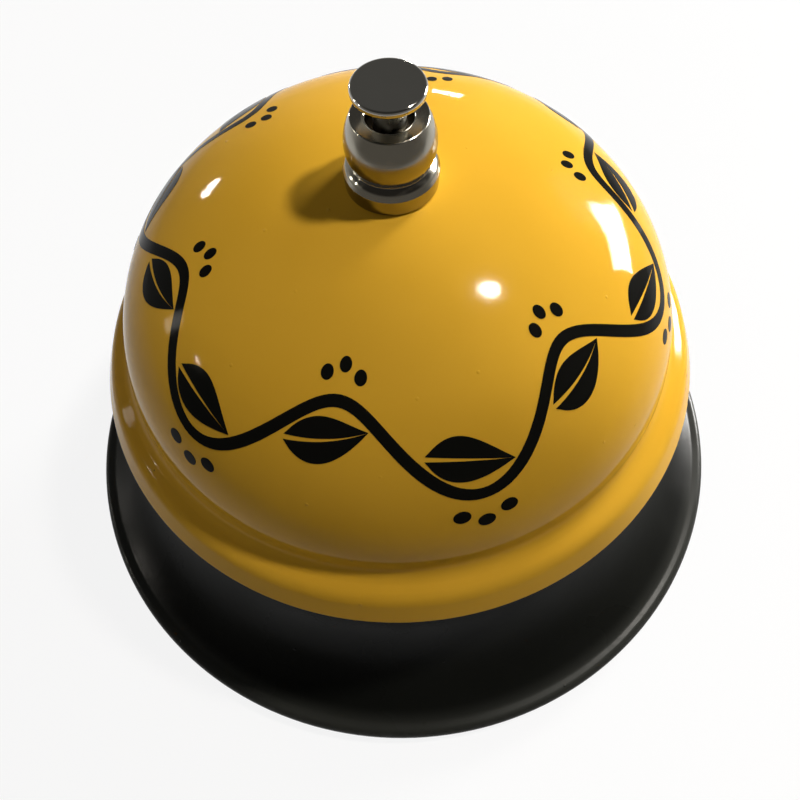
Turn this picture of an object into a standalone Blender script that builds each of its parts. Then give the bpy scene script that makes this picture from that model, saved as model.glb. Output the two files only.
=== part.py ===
"""Service bell with a push button: base, post, dome, plunger and hanging hammer. Metres, +Z up."""

from math import acos
from math import asin
from math import atan2
from math import ceil
from math import cos
from math import hypot
from math import pi
from math import radians
from math import sin
from math import sqrt
from math import tan

import bmesh
import bpy
from mathutils import Matrix

MM = 0.001

# Clearances
SEAT_GAP = 0.1 * MM
RUN_GAP = 0.3 * MM

# Rubber feet
FOOT_COUNT = 4
FOOT_RADIUS = 2.2 * MM
FOOT_HEIGHT = 0.8 * MM
FOOT_EDGE = 0.2 * MM

# Base pan
BASE_RADIUS = 42.5 * MM
BASE_SHEET = 0.8 * MM
BASE_FLANGE_WIDTH = 6.0 * MM
RIM_HEIGHT = 2.0 * MM
RIM_FILLET = 1.0 * MM
BRIM_WIDTH = 1.6 * MM
BRIM_RISE = 0.3 * MM
BRIM_FILLET = 1.2 * MM
SKIRT_KNEE_RADIUS = 32.6 * MM
SKIRT_KNEE_HEIGHT = 8.6 * MM
SKIRT_FILLET = 18.0 * MM
SHOULDER_RADIUS = 31.0 * MM
SHOULDER_FILLET = 2.0 * MM
PLATEAU_HEIGHT = 23.3 * MM

# Bell dome
LIP_RISE = 3.05 * MM
LIP_FLARE = 3.86 * MM
LIP_BAND = 3.25 * MM
LIP_TAPER = 1.26 * MM
LIP_FILLET = 2.6 * MM
FLARE_RISE = 1.6 * MM
FLARE_FILLET = 2.4 * MM
WALL_DROP = 0.28 * MM
WALL_LEAN = radians(6)
DOME_SHEET = 0.8 * MM
DOME_WALL_RADIUS = 30.9 * MM
CROWN_RADIUS = 42.2 * MM
KNUCKLE_RADIUS = 19.5 * MM

# Post and what it clamps
POST_WALL = 1.1 * MM
THREAD_LENGTH = 2.0 * MM
POST_SHOULDER = 0.8 * MM
POST_FOOT_WIDTH = 3.6 * MM
POST_FOOT_HEIGHT = 2.0 * MM
SPIGOT_END = 0.8 * MM
WASHER_WIDTH = 2.3 * MM
LOCK_WASHER_WIDTH = 1.7 * MM
LOCK_WASHER_HEIGHT = 1.0 * MM
LOCK_WASHER_SPLIT = 0.8 * MM
POST_NUT_WALL = 1.3 * MM
POST_NUT_HEIGHT = 3.2 * MM
POST_NUT_BEVEL = 0.4 * MM

# Barrel nut
NUT_HEIGHT = 7.62 * MM
NUT_WALL = 0.95 * MM
NUT_GROOVE_HEIGHT = 2.45 * MM
NUT_FLANGE_STEP = 0.78 * MM
NUT_FLANGE_TAPER = 0.1 * MM
NUT_FLANGE_HEIGHT = 1.35 * MM
NUT_BELLY_BULGE = 0.51 * MM
NUT_BELLY_HEIGHT = 4.5 * MM
NUT_FACE_INSET = 0.91 * MM
NUT_FACE_CHAMFER = 0.25 * MM
NUT_LIP_HEIGHT = 0.8 * MM

# Plunger
BUTTON_TRAVEL = 2.0 * MM
BUTTON_RADIUS = 3.34 * MM
BUTTON_RIM = 0.8 * MM
BUTTON_EDGE = 0.25 * MM
BUTTON_CONE = 0.23 * MM
BUTTON_ROOF = 0.43 * MM
ROD_RADIUS = 1.2 * MM
COLLAR_OVERLAP = 0.37 * MM
COLLAR_HEIGHT = 0.6 * MM
SPRING_WIRE_RADIUS = 0.17 * MM
SPRING_TURNS = 3.5

# Yoke, lever and hammer
YOKE_SHEET = 1.0 * MM
YOKE_BACK = 5.5 * MM
YOKE_HALF_WIDTH = 5.0 * MM
YOKE_CLEAR = 0.7 * MM
EAR_RADIUS = 2.6 * MM
EAR_FLAT = 1.2 * MM
PIVOT_REACH = 9.0 * MM
PIVOT_DROP = 4.8 * MM
PIN_RADIUS = 1.0 * MM
PIN_HEAD_RADIUS = 1.7 * MM
PIN_HEAD_HEIGHT = 0.6 * MM
LEVER_SHEET = 2.0 * MM
LEVER_BOSS_RADIUS = 2.4 * MM
TAIL_HALF_DEPTH = 1.2 * MM
TAIL_OVERRUN = 0.6 * MM
ARM_HALF_DEPTH = 1.3 * MM
HEAD_RADIUS = 3.0 * MM
HEAD_TAIL = 2.6 * MM
RIVET_RADIUS = 0.7 * MM
RIVET_PROUD = 0.1 * MM
STRIKE_GAP = 0.5 * MM
STRIKE_ABOVE_LIP = 6.2 * MM

# Facets
LARGE_SEGMENTS = 48
SMALL_SEGMENTS = 32
PIN_SEGMENTS = 24
SPRING_POINTS_PER_TURN = 16
ARC_STEP = radians(30)
ARC_CHORD = 3.4 * MM
FILLET_SHARE = 0.85
EAR_ROUND_STEPS = 4
SMOOTH_ANGLE = radians(35)
MERGE_DISTANCE = 1e-7
CUT_OVERRUN = 1.0 * MM

# Fits from the rod outwards
rod_bore = ROD_RADIUS + RUN_GAP
rod_socket = ROD_RADIUS + SEAT_GAP
thread_radius = rod_bore + POST_WALL
thread_hole = thread_radius + SEAT_GAP
post_radius = thread_radius + POST_SHOULDER
nut_bore = thread_hole + SEAT_GAP
collar_radius = nut_bore - RUN_GAP
nut_mouth = collar_radius - COLLAR_OVERLAP
nut_groove = nut_bore + NUT_WALL
nut_flange = nut_groove + NUT_FLANGE_STEP
nut_belly = nut_groove + NUT_BELLY_BULGE
nut_face = nut_belly - NUT_FACE_INSET
washer_radius = thread_hole + WASHER_WIDTH

# Base and dome heights
base_bottom = FOOT_HEIGHT + SEAT_GAP
plateau_under = PLATEAU_HEIGHT - BASE_SHEET
lip_height = PLATEAU_HEIGHT + LIP_RISE
lip_radius = DOME_WALL_RADIUS + LIP_FLARE
band_top = lip_height + LIP_BAND
flare_top = band_top + FLARE_RISE
knuckle_height = flare_top + WALL_DROP
knuckle_reach = DOME_WALL_RADIUS - KNUCKLE_RADIUS
crown_centre = knuckle_height - sqrt((CROWN_RADIUS - KNUCKLE_RADIUS) ** 2 - knuckle_reach ** 2)
crown_inner = CROWN_RADIUS - DOME_SHEET

# Yoke corner under the crown, and the stack on the post
ear_inner = LEVER_SHEET / 2 + RUN_GAP
ear_outer = ear_inner + YOKE_SHEET
yoke_corner = hypot(PIVOT_REACH + EAR_RADIUS, ear_outer)
yoke_top = crown_centre + sqrt(crown_inner ** 2 - yoke_corner ** 2) - YOKE_CLEAR
yoke_bottom = yoke_top - YOKE_SHEET
washer_bottom = yoke_top + SEAT_GAP
washer_top = crown_centre + sqrt(crown_inner ** 2 - washer_radius ** 2) - SEAT_GAP
post_shoulder = yoke_bottom - SEAT_GAP
post_bottom = PLATEAU_HEIGHT + SEAT_GAP
lock_washer_top = plateau_under - SEAT_GAP
lock_washer_bottom = lock_washer_top - LOCK_WASHER_HEIGHT
post_nut_top = lock_washer_bottom - SEAT_GAP
post_nut_bottom = post_nut_top - POST_NUT_HEIGHT
spigot_bottom = post_nut_bottom - SPIGOT_END
nut_bottom = crown_centre + sqrt(CROWN_RADIUS ** 2 - thread_hole ** 2) + SEAT_GAP
nut_top = nut_bottom + NUT_HEIGHT
post_top = nut_bottom + THREAD_LENGTH

# Plunger at rest
button_bottom = nut_top + BUTTON_TRAVEL + RUN_GAP
collar_top = nut_top - NUT_LIP_HEIGHT - RUN_GAP
collar_bottom = collar_top - COLLAR_HEIGHT
spring_bottom = post_top + SEAT_GAP
spring_top = collar_bottom - SEAT_GAP

# Lever in the XZ plane: it strikes where the head would touch the dome less the gap
pivot_height = yoke_bottom - PIVOT_DROP
rod_bottom = pivot_height + TAIL_HALF_DEPTH + RUN_GAP
swing = BUTTON_TRAVEL / PIVOT_REACH
strike_height = lip_height + STRIKE_ABOVE_LIP
strike_rise = max(0.0, strike_height - knuckle_height)
strike_reach = KNUCKLE_RADIUS - DOME_SHEET - HEAD_RADIUS - STRIKE_GAP
strike_radius = knuckle_reach + sqrt(strike_reach ** 2 - strike_rise ** 2)
arm_length = hypot(strike_radius - PIVOT_REACH, strike_height - pivot_height)
arm_angle = atan2(strike_height - pivot_height, strike_radius - PIVOT_REACH) - swing
pin_half = ear_outer + SEAT_GAP + PIN_HEAD_HEIGHT


def clear_scene():
    for item in list(bpy.data.objects):
        bpy.data.objects.remove(item)


def finish(name, colour, roughness, metallic):
    """A plain Principled material in the piece's own colour."""
    material = bpy.data.materials.new(name)
    material.use_nodes = True
    shader = material.node_tree.nodes["Principled BSDF"]
    shader.inputs["Base Color"].default_value = (*colour, 1.0)
    shader.inputs["Roughness"].default_value = roughness
    shader.inputs["Metallic"].default_value = metallic
    material.diffuse_color = (*colour, 1.0)
    return material


def arc_steps(turn, radius):
    by_angle = ceil(abs(turn) / ARC_STEP)
    by_chord = ceil(abs(turn) * radius / ARC_CHORD)
    return max(2, by_angle, by_chord)


def arc(centre, radius, start, end):
    """Points along an arc in the profile plane, from one angle to another."""
    steps = arc_steps(end - start, radius)
    points = []
    for step in range(steps + 1):
        angle = start + (end - start) * step / steps
        points.append((centre[0] + radius * cos(angle), centre[1] + radius * sin(angle)))
    return points


def rounded_path(corners):
    """Path through (r, z, fillet) corners, with an arc at each filleted one."""
    points = [corners[0][:2]]
    for before, corner, after in zip(corners, corners[1:], corners[2:]):
        leg_in = hypot(corner[0] - before[0], corner[1] - before[1])
        leg_out = hypot(after[0] - corner[0], after[1] - corner[1])
        heading_in = atan2(corner[1] - before[1], corner[0] - before[0])
        heading_out = atan2(after[1] - corner[1], after[0] - corner[0])
        turn = (heading_out - heading_in + pi) % (2 * pi) - pi
        if corner[2] == 0 or turn == 0:
            points.append(corner[:2])
            continue
        tangent = min(corner[2] * tan(abs(turn) / 2), FILLET_SHARE * leg_in, FILLET_SHARE * leg_out)
        radius = tangent / tan(abs(turn) / 2)
        side = 1 if turn > 0 else -1
        start = heading_in - side * pi / 2
        centre_r = corner[0] - tangent * cos(heading_in) - side * radius * sin(heading_in)
        centre_z = corner[1] - tangent * sin(heading_in) + side * radius * cos(heading_in)
        points.extend(arc((centre_r, centre_z), radius, start, start + turn))
    points.append(corners[-1][:2])
    return points


def thickened(path, sheet):
    """Closed outline of a sheet whose outer side is the path and whose wall lies to its right."""
    inner = []
    for index, point in enumerate(path):
        before = path[max(index - 1, 0)]
        after = path[min(index + 1, len(path) - 1)]
        first = (point, after) if index == 0 else (before, point)
        second = (before, point) if index == len(path) - 1 else (point, after)
        normals = []
        for tail, head in (first, second):
            length = hypot(head[0] - tail[0], head[1] - tail[1])
            normals.append(((head[1] - tail[1]) / length, -(head[0] - tail[0]) / length))
        mean_r = normals[0][0] + normals[1][0]
        mean_z = normals[0][1] + normals[1][1]
        scale = 2 * sheet / (mean_r ** 2 + mean_z ** 2)
        inner.append((point[0] + mean_r * scale, point[1] + mean_z * scale))
    return path + inner[::-1]


def new_object(name, mesh_maker, material, parent=None, location=(0, 0, 0), rotation=(0, 0, 0)):
    """A named object from a bmesh that mesh_maker fills, shaded smooth where it is round."""
    mesh = bpy.data.meshes.new(name)
    shape = bmesh.new()
    mesh_maker(shape)
    bmesh.ops.remove_doubles(shape, verts=shape.verts, dist=MERGE_DISTANCE)
    bmesh.ops.recalc_face_normals(shape, faces=shape.faces)
    shape.to_mesh(mesh)
    shape.free()
    mesh.shade_smooth()
    mesh.set_sharp_from_angle(angle=SMOOTH_ANGLE)
    if material is not None:
        mesh.materials.append(material)
    item = bpy.data.objects.new(name, mesh)
    bpy.context.collection.objects.link(item)
    item.location = location
    item.rotation_euler = rotation
    item.parent = parent
    return item


def turned(outline, segments):
    """Filler that spins an outline round Z; its ends may lie on the axis."""
    on_axis = outline[0][0] == 0 and outline[-1][0] == 0

    def fill(shape):
        rim = [shape.verts.new((radius, 0, height)) for radius, height in outline]
        edges = [shape.edges.new(pair) for pair in zip(rim, rim[1:])]
        if not on_axis:
            edges.append(shape.edges.new((rim[-1], rim[0])))
        bmesh.ops.spin(
            shape, geom=rim + edges, cent=(0, 0, 0), axis=(0, 0, 1),
            angle=2 * pi, steps=segments, use_merge=True)

    return fill


def slab(outline, thickness):
    """Filler that extrudes an outline in the XZ plane, centred on Y."""

    def fill(shape):
        rim = [shape.verts.new((x, -thickness / 2, z)) for x, z in outline]
        face = shape.faces.new(rim)
        grown = bmesh.ops.extrude_face_region(shape, geom=[face])
        moved = [item for item in grown["geom"] if isinstance(item, bmesh.types.BMVert)]
        bmesh.ops.translate(shape, verts=moved, vec=(0, thickness, 0))

    return fill


def block(low, high):
    """Filler for a box between two corners."""

    def fill(shape):
        size = [top - bottom for bottom, top in zip(low, high)]
        middle = [(top + bottom) / 2 for bottom, top in zip(low, high)]
        place = Matrix.Translation(middle) @ Matrix.Diagonal((*size, 1))
        bmesh.ops.create_cube(shape, size=1, matrix=place)

    return fill


def ring_outline(inner, outer, bottom, top):
    """Square outline of a plain ring."""
    return [(inner, top), (outer, top), (outer, bottom), (inner, bottom)]


def cylinder(radius, bottom, top, segments=PIN_SEGMENTS):
    return turned([(0, top), (radius, top), (radius, bottom), (0, bottom)], segments)


def cut(target, cutter_maker, location=(0, 0, 0), rotation=(0, 0, 0)):
    """Takes a hidden cutter's shape away from a piece, in that piece's own frame."""
    count = len(target.modifiers) + 1
    cutter = new_object(f"{target.name}_cutter_{count}", cutter_maker, None, target, location, rotation)
    cutter.hide_render = True
    cutter.display_type = "WIRE"
    boolean = target.modifiers.new(f"cut_{count}", "BOOLEAN")
    boolean.operation = "DIFFERENCE"
    boolean.solver = "EXACT"
    boolean.object = cutter


def axis_empty(name, location):
    empty = bpy.data.objects.new(name, None)
    bpy.context.collection.objects.link(empty)
    empty.location = location
    return empty


def base_path():
    """Outer side of the base pan, from its centre hole out and down to the flange under the rim."""
    rim_top = base_bottom + RIM_HEIGHT
    corners = [
        (thread_hole, PLATEAU_HEIGHT, 0),
        (SHOULDER_RADIUS, PLATEAU_HEIGHT, SHOULDER_FILLET),
        (SKIRT_KNEE_RADIUS, SKIRT_KNEE_HEIGHT, SKIRT_FILLET),
        (BASE_RADIUS - BRIM_WIDTH, rim_top + BRIM_RISE, BRIM_FILLET),
        (BASE_RADIUS, rim_top, RIM_FILLET),
        (BASE_RADIUS, base_bottom, RIM_FILLET),
        (BASE_RADIUS - BASE_FLANGE_WIDTH, base_bottom, 0),
    ]
    return rounded_path(corners)


def make_base():
    black = finish("black_enamel", (0.012, 0.012, 0.013), 0.3, 0.0)
    rubber = finish("black_rubber", (0.02, 0.02, 0.02), 0.8, 0.0)
    new_object("base_pan", turned(thickened(base_path(), BASE_SHEET), LARGE_SEGMENTS), black)
    flange_inner = BASE_RADIUS - BASE_FLANGE_WIDTH
    flange_outer = BASE_RADIUS - RIM_FILLET
    pitch = (flange_inner + flange_outer) / 2
    pad = [
        (0, FOOT_HEIGHT),
        (FOOT_RADIUS, FOOT_HEIGHT),
        (FOOT_RADIUS, FOOT_EDGE),
        (FOOT_RADIUS - FOOT_EDGE, 0),
        (0, 0),
    ]
    for index in range(FOOT_COUNT):
        angle = 2 * pi * (index + 0.5) / FOOT_COUNT
        place = (pitch * cos(angle), pitch * sin(angle), 0)
        new_object(f"rubber_foot_{index + 1}", turned(pad, PIN_SEGMENTS), rubber, location=place)


def dome_path():
    """Outer side of the dome: crown and knuckle arcs, then the wall, flare and lip."""
    tilt = acos((knuckle_height - crown_centre) / (CROWN_RADIUS - KNUCKLE_RADIUS))
    hole_angle = pi / 2 - asin(thread_hole / CROWN_RADIUS)
    crown = arc((0, crown_centre), CROWN_RADIUS, hole_angle, pi / 2 - tilt)
    knuckle = arc((knuckle_reach, knuckle_height), KNUCKLE_RADIUS, pi / 2 - tilt, WALL_LEAN)
    skirt = rounded_path([
        knuckle[-1] + (0,),
        (DOME_WALL_RADIUS, flare_top, FLARE_FILLET),
        (lip_radius - LIP_TAPER, band_top, LIP_FILLET),
        (lip_radius, lip_height, 0),
    ])
    return crown + knuckle[1:] + skirt[1:]


def make_dome():
    yellow = finish("yellow_enamel", (0.85, 0.48, 0.045), 0.12, 0.0)
    fibre = finish("grey_fibre", (0.12, 0.11, 0.1), 0.8, 0.0)
    new_object("bell_dome", turned(thickened(dome_path(), DOME_SHEET), LARGE_SEGMENTS), yellow)
    packing = ring_outline(thread_hole, washer_radius, washer_bottom, washer_top)
    new_object("dome_washer", turned(packing, PIN_SEGMENTS), fibre)


def make_post():
    zinc = finish("zinc_steel", (0.55, 0.55, 0.53), 0.35, 1.0)
    outline = [
        (thread_radius, post_top),
        (thread_radius, post_shoulder),
        (post_radius, post_shoulder),
        (post_radius, post_bottom + POST_FOOT_HEIGHT),
        (post_radius + POST_FOOT_WIDTH, post_bottom + POST_FOOT_HEIGHT),
        (post_radius + POST_FOOT_WIDTH, post_bottom),
        (thread_radius, post_bottom),
        (thread_radius, spigot_bottom),
        (rod_bore, spigot_bottom),
        (rod_bore, post_top),
    ]
    post = new_object("post", turned(outline, PIN_SEGMENTS), zinc)
    tail_drop = (PIVOT_REACH + TAIL_OVERRUN) * sin(swing)
    window_low = pivot_height - TAIL_HALF_DEPTH - tail_drop - RUN_GAP
    window_high = pivot_height + TAIL_HALF_DEPTH + RUN_GAP
    half = LEVER_SHEET / 2 + RUN_GAP
    cut(post, block((0, -half, window_low), (post_radius + CUT_OVERRUN, half, window_high)))

    washer_edge = thread_hole + LOCK_WASHER_WIDTH
    ring = ring_outline(thread_hole, washer_edge, lock_washer_bottom, lock_washer_top)
    washer = new_object("post_lock_washer", turned(ring, PIN_SEGMENTS), zinc)
    split = LOCK_WASHER_SPLIT / 2
    split_low = (0, -split, lock_washer_bottom - CUT_OVERRUN)
    split_high = (washer_edge + CUT_OVERRUN, split, lock_washer_top + CUT_OVERRUN)
    cut(washer, block(split_low, split_high))

    hex_radius = (thread_hole + POST_NUT_WALL) / cos(pi / 6)
    hexagon = [
        (0, post_nut_top),
        (hex_radius - POST_NUT_BEVEL, post_nut_top),
        (hex_radius, post_nut_top - POST_NUT_BEVEL),
        (hex_radius, post_nut_bottom + POST_NUT_BEVEL),
        (hex_radius - POST_NUT_BEVEL, post_nut_bottom),
        (0, post_nut_bottom),
    ]
    nut = new_object("post_nut", turned(hexagon, 6), zinc)
    cut(nut, cylinder(thread_hole, post_nut_bottom - CUT_OVERRUN, post_nut_top + CUT_OVERRUN))


def belly_path():
    """Side of the nut's belly: two arcs that meet upright where it is widest."""
    belly_z = nut_bottom + NUT_BELLY_HEIGHT
    above = nut_top - NUT_FACE_CHAMFER - belly_z
    below = NUT_BELLY_HEIGHT - NUT_GROOVE_HEIGHT
    inset = NUT_FACE_INSET - NUT_FACE_CHAMFER
    upper = (above ** 2 + inset ** 2) / (2 * inset)
    lower = (below ** 2 + NUT_BELLY_BULGE ** 2) / (2 * NUT_BELLY_BULGE)
    side = arc((nut_belly - upper, belly_z), upper, asin(above / upper), 0)
    side += arc((nut_belly - lower, belly_z), lower, 0, -asin(below / lower))[1:]
    return side


def make_nut():
    chrome = finish("chrome", (0.62, 0.62, 0.62), 0.06, 1.0)
    outline = [(nut_mouth, nut_top), (nut_face, nut_top)]
    outline += belly_path()
    outline += [
        (nut_flange, nut_bottom + NUT_FLANGE_HEIGHT),
        (nut_flange - NUT_FLANGE_TAPER, nut_bottom),
        (nut_bore, nut_bottom),
        (nut_bore, nut_top - NUT_LIP_HEIGHT),
        (nut_mouth, nut_top - NUT_LIP_HEIGHT),
    ]
    new_object("barrel_nut", turned(outline, SMALL_SEGMENTS), chrome)


def make_plunger():
    chrome = finish("chrome_button", (0.62, 0.62, 0.62), 0.06, 1.0)
    steel = finish("bright_steel", (0.5, 0.5, 0.5), 0.25, 1.0)
    empty = axis_empty("plunger_axis", (0, 0, button_bottom))
    top = BUTTON_CONE + BUTTON_RIM
    socket_top = top - BUTTON_ROOF
    button = [
        (0, top),
        (BUTTON_RADIUS - BUTTON_EDGE, top),
        (BUTTON_RADIUS, top - BUTTON_EDGE),
        (BUTTON_RADIUS, BUTTON_CONE + BUTTON_EDGE),
        (BUTTON_RADIUS - BUTTON_EDGE, BUTTON_CONE),
        (rod_socket + BUTTON_EDGE, 0),
        (rod_socket, 0),
        (rod_socket, socket_top),
        (0, socket_top),
    ]
    new_object("push_button", turned(button, SMALL_SEGMENTS), chrome, empty)

    rod_top = socket_top - SEAT_GAP
    nose_centre = rod_bottom + ROD_RADIUS - button_bottom
    nose = arc((0, nose_centre), ROD_RADIUS, 0, -pi / 2)
    nose[-1] = (0, nose[-1][1])
    rod = [(0, rod_top), (ROD_RADIUS, rod_top)] + nose
    new_object("plunger_rod", turned(rod, SMALL_SEGMENTS), steel, empty)

    low = collar_bottom - button_bottom
    collar = ring_outline(rod_socket, collar_radius, low, low + COLLAR_HEIGHT)
    new_object("spring_collar", turned(collar, SMALL_SEGMENTS), steel, empty)


def make_spring():
    """Open coil of round wire between the post's end and the collar."""
    steel = finish("spring_steel", (0.45, 0.45, 0.46), 0.3, 1.0)
    coil_radius = rod_bore + SPRING_WIRE_RADIUS
    low = spring_bottom + SPRING_WIRE_RADIUS
    high = spring_top - SPRING_WIRE_RADIUS
    count = ceil(SPRING_TURNS * SPRING_POINTS_PER_TURN)
    curve = bpy.data.curves.new("return_spring", "CURVE")
    curve.dimensions = "3D"
    curve.bevel_depth = SPRING_WIRE_RADIUS
    curve.bevel_resolution = 1
    curve.use_fill_caps = True
    wire = curve.splines.new("POLY")
    wire.points.add(count)
    for index, point in enumerate(wire.points):
        share = index / count
        angle = 2 * pi * SPRING_TURNS * share
        height = low + (high - low) * share
        point.co = (coil_radius * cos(angle), coil_radius * sin(angle), height, 1)
    curve.materials.append(steel)
    spring = bpy.data.objects.new("return_spring", curve)
    bpy.context.collection.objects.link(spring)


def yoke_filler(shape):
    """Flat plate round the post with two ears folded down from its narrow end."""
    near = PIVOT_REACH - EAR_RADIUS
    far = PIVOT_REACH + EAR_RADIUS
    ys = [-YOKE_HALF_WIDTH, -ear_outer, -ear_inner, ear_inner, ear_outer, YOKE_HALF_WIDTH]
    xs = [-YOKE_BACK, near, far]
    corners = {}
    for x in xs:
        for y in ys:
            corners[x, y] = shape.verts.new((x, y, yoke_bottom))
    ears = []
    plate = []
    for x_low, x_high in zip(xs, xs[1:]):
        for y_low, y_high in zip(ys, ys[1:]):
            if x_low == near and abs(y_low + y_high) / 2 > ear_outer:
                continue
            ring = [corners[x_low, y_low], corners[x_high, y_low], corners[x_high, y_high]]
            face = shape.faces.new(ring + [corners[x_low, y_high]])
            plate.append(face)
            if x_low == near and abs(y_low + y_high) / 2 > ear_inner:
                ears.append(face)
    grown = bmesh.ops.extrude_face_region(shape, geom=plate, use_keep_orig=True)
    raised = [item for item in grown["geom"] if isinstance(item, bmesh.types.BMVert)]
    bmesh.ops.translate(shape, verts=raised, vec=(0, 0, YOKE_SHEET))
    drop = yoke_bottom - pivot_height + EAR_RADIUS
    for ear in ears:
        made = bmesh.ops.extrude_discrete_faces(shape, faces=[ear])
        tip = made["faces"][0]
        bmesh.ops.translate(shape, verts=tip.verts, vec=(0, 0, -drop))
        ends = [edge for edge in tip.edges if abs(edge.verts[0].co.y - edge.verts[1].co.y) > MERGE_DISTANCE]
        bmesh.ops.bevel(
            shape, geom=ends, offset=EAR_RADIUS - EAR_FLAT / 2, segments=EAR_ROUND_STEPS,
            profile=0.5, affect="EDGES")
    loose = [vert for vert in shape.verts if not vert.link_faces]
    bmesh.ops.delete(shape, geom=loose, context="VERTS")


def make_yoke():
    steel = finish("yoke_steel", (0.5, 0.5, 0.48), 0.4, 1.0)
    yoke = new_object("lever_yoke", yoke_filler, steel)
    cut(yoke, cylinder(thread_hole, yoke_bottom - CUT_OVERRUN, yoke_top + CUT_OVERRUN))
    pin_hole = cylinder(PIN_RADIUS + SEAT_GAP, -pin_half - CUT_OVERRUN, pin_half + CUT_OVERRUN)
    cut(yoke, pin_hole, (PIVOT_REACH, 0, pivot_height), (pi / 2, 0, 0))
    shank = pin_half - PIN_HEAD_HEIGHT
    pin = [
        (0, pin_half),
        (PIN_HEAD_RADIUS, pin_half),
        (PIN_HEAD_RADIUS, shank),
        (PIN_RADIUS, shank),
        (PIN_RADIUS, -shank),
        (PIN_HEAD_RADIUS, -shank),
        (PIN_HEAD_RADIUS, -pin_half),
        (0, -pin_half),
    ]
    place = (PIVOT_REACH, 0, pivot_height)
    new_object("pivot_pin", turned(pin, PIN_SEGMENTS), steel, location=place, rotation=(pi / 2, 0, 0))


def lever_outline():
    """Lever in its own plane: round tail tip, boss at the pivot, straight arm with a round end."""
    tail_spread = asin(TAIL_HALF_DEPTH / LEVER_BOSS_RADIUS)
    arm_spread = asin(ARM_HALF_DEPTH / LEVER_BOSS_RADIUS)
    tip = (-PIVOT_REACH - TAIL_OVERRUN + TAIL_HALF_DEPTH, 0)
    end = (arm_length * cos(arm_angle), arm_length * sin(arm_angle))
    outline = arc(tip, TAIL_HALF_DEPTH, 3 * pi / 2, pi / 2)
    outline += arc((0, 0), LEVER_BOSS_RADIUS, pi - tail_spread, arm_angle + arm_spread)
    outline += arc(end, ARM_HALF_DEPTH, arm_angle + pi / 2, arm_angle - pi / 2)
    outline += arc((0, 0), LEVER_BOSS_RADIUS, arm_angle - arm_spread, tail_spread - pi)
    return outline


def make_hammer():
    steel = finish("lever_steel", (0.5, 0.5, 0.48), 0.4, 1.0)
    brass = finish("brass", (0.62, 0.43, 0.16), 0.3, 1.0)
    empty = axis_empty("hammer_axis", (PIVOT_REACH, 0, pivot_height))
    lever = new_object("hammer_lever", slab(lever_outline(), LEVER_SHEET), steel, empty)
    hole_half = LEVER_SHEET / 2 + CUT_OVERRUN
    cut(lever, cylinder(PIN_RADIUS + RUN_GAP, -hole_half, hole_half), rotation=(pi / 2, 0, 0))
    head_place = (arm_length * cos(arm_angle), 0, arm_length * sin(arm_angle))
    rivet_hole = RIVET_RADIUS + SEAT_GAP
    cut(lever, cylinder(rivet_hole, -hole_half, hole_half), head_place, (pi / 2, 0, 0))

    nose = arc((0, 0), HEAD_RADIUS, pi / 2, 0)
    nose[0] = (0, HEAD_RADIUS)
    outline = nose + [(HEAD_RADIUS, -HEAD_TAIL), (0, -HEAD_TAIL)]
    head_turn = (0, -arm_angle, 0)
    head = new_object("hammer_head", turned(outline, SMALL_SEGMENTS), brass, empty, head_place, head_turn)
    pocket = ARM_HALF_DEPTH + SEAT_GAP
    half = LEVER_SHEET / 2 + SEAT_GAP
    cut(head, block((-HEAD_RADIUS - CUT_OVERRUN, -half, -pocket), (pocket, half, pocket)))
    bore_half = HEAD_RADIUS + CUT_OVERRUN
    cut(head, cylinder(rivet_hole, -bore_half, bore_half), rotation=(pi / 2, 0, 0))

    rivet_half = HEAD_RADIUS + RIVET_PROUD
    rivet = cylinder(RIVET_RADIUS, -rivet_half, rivet_half)
    new_object("hammer_rivet", rivet, steel, empty, head_place, (pi / 2, 0, 0))


clear_scene()
make_base()
make_post()
make_dome()
make_nut()
make_plunger()
make_spring()
make_yoke()
make_hammer()
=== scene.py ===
"""Service bell: finished surfaces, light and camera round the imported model. Metres, +Z up."""

from math import acos, asin, atan2, ceil, cos, hypot, pi, radians, sin, sqrt, tan

import bmesh
import bpy
from mathutils import Matrix, Vector


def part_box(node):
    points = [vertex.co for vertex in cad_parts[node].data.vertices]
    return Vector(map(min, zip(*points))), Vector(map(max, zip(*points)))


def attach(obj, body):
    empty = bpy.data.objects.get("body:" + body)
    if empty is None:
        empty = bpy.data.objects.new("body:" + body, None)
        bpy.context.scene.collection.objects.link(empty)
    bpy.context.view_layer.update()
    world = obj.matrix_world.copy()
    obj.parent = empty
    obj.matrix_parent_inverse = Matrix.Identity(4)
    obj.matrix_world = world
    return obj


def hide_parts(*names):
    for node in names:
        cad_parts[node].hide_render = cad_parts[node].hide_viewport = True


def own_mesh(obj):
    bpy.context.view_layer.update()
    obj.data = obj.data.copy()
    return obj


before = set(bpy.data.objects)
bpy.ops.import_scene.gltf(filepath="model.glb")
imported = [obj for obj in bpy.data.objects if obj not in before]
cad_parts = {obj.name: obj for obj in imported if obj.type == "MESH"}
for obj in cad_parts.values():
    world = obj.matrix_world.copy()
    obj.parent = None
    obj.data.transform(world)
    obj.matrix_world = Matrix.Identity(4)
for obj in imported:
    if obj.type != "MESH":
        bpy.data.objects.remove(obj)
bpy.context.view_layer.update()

MM = 0.001

# Camera, at the photograph's viewing angle
CAMERA_PLACE = Vector((0.0, -58.54, 117.57)) * MM
CAMERA_AIM = Vector((-0.12, 0.0, 10.23)) * MM
CAMERA_ROLL = radians(-2.42)
CAMERA_LENS = 40.25
CAMERA_SENSOR = 36.0
CAMERA_NEAR = 2 * MM

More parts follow.
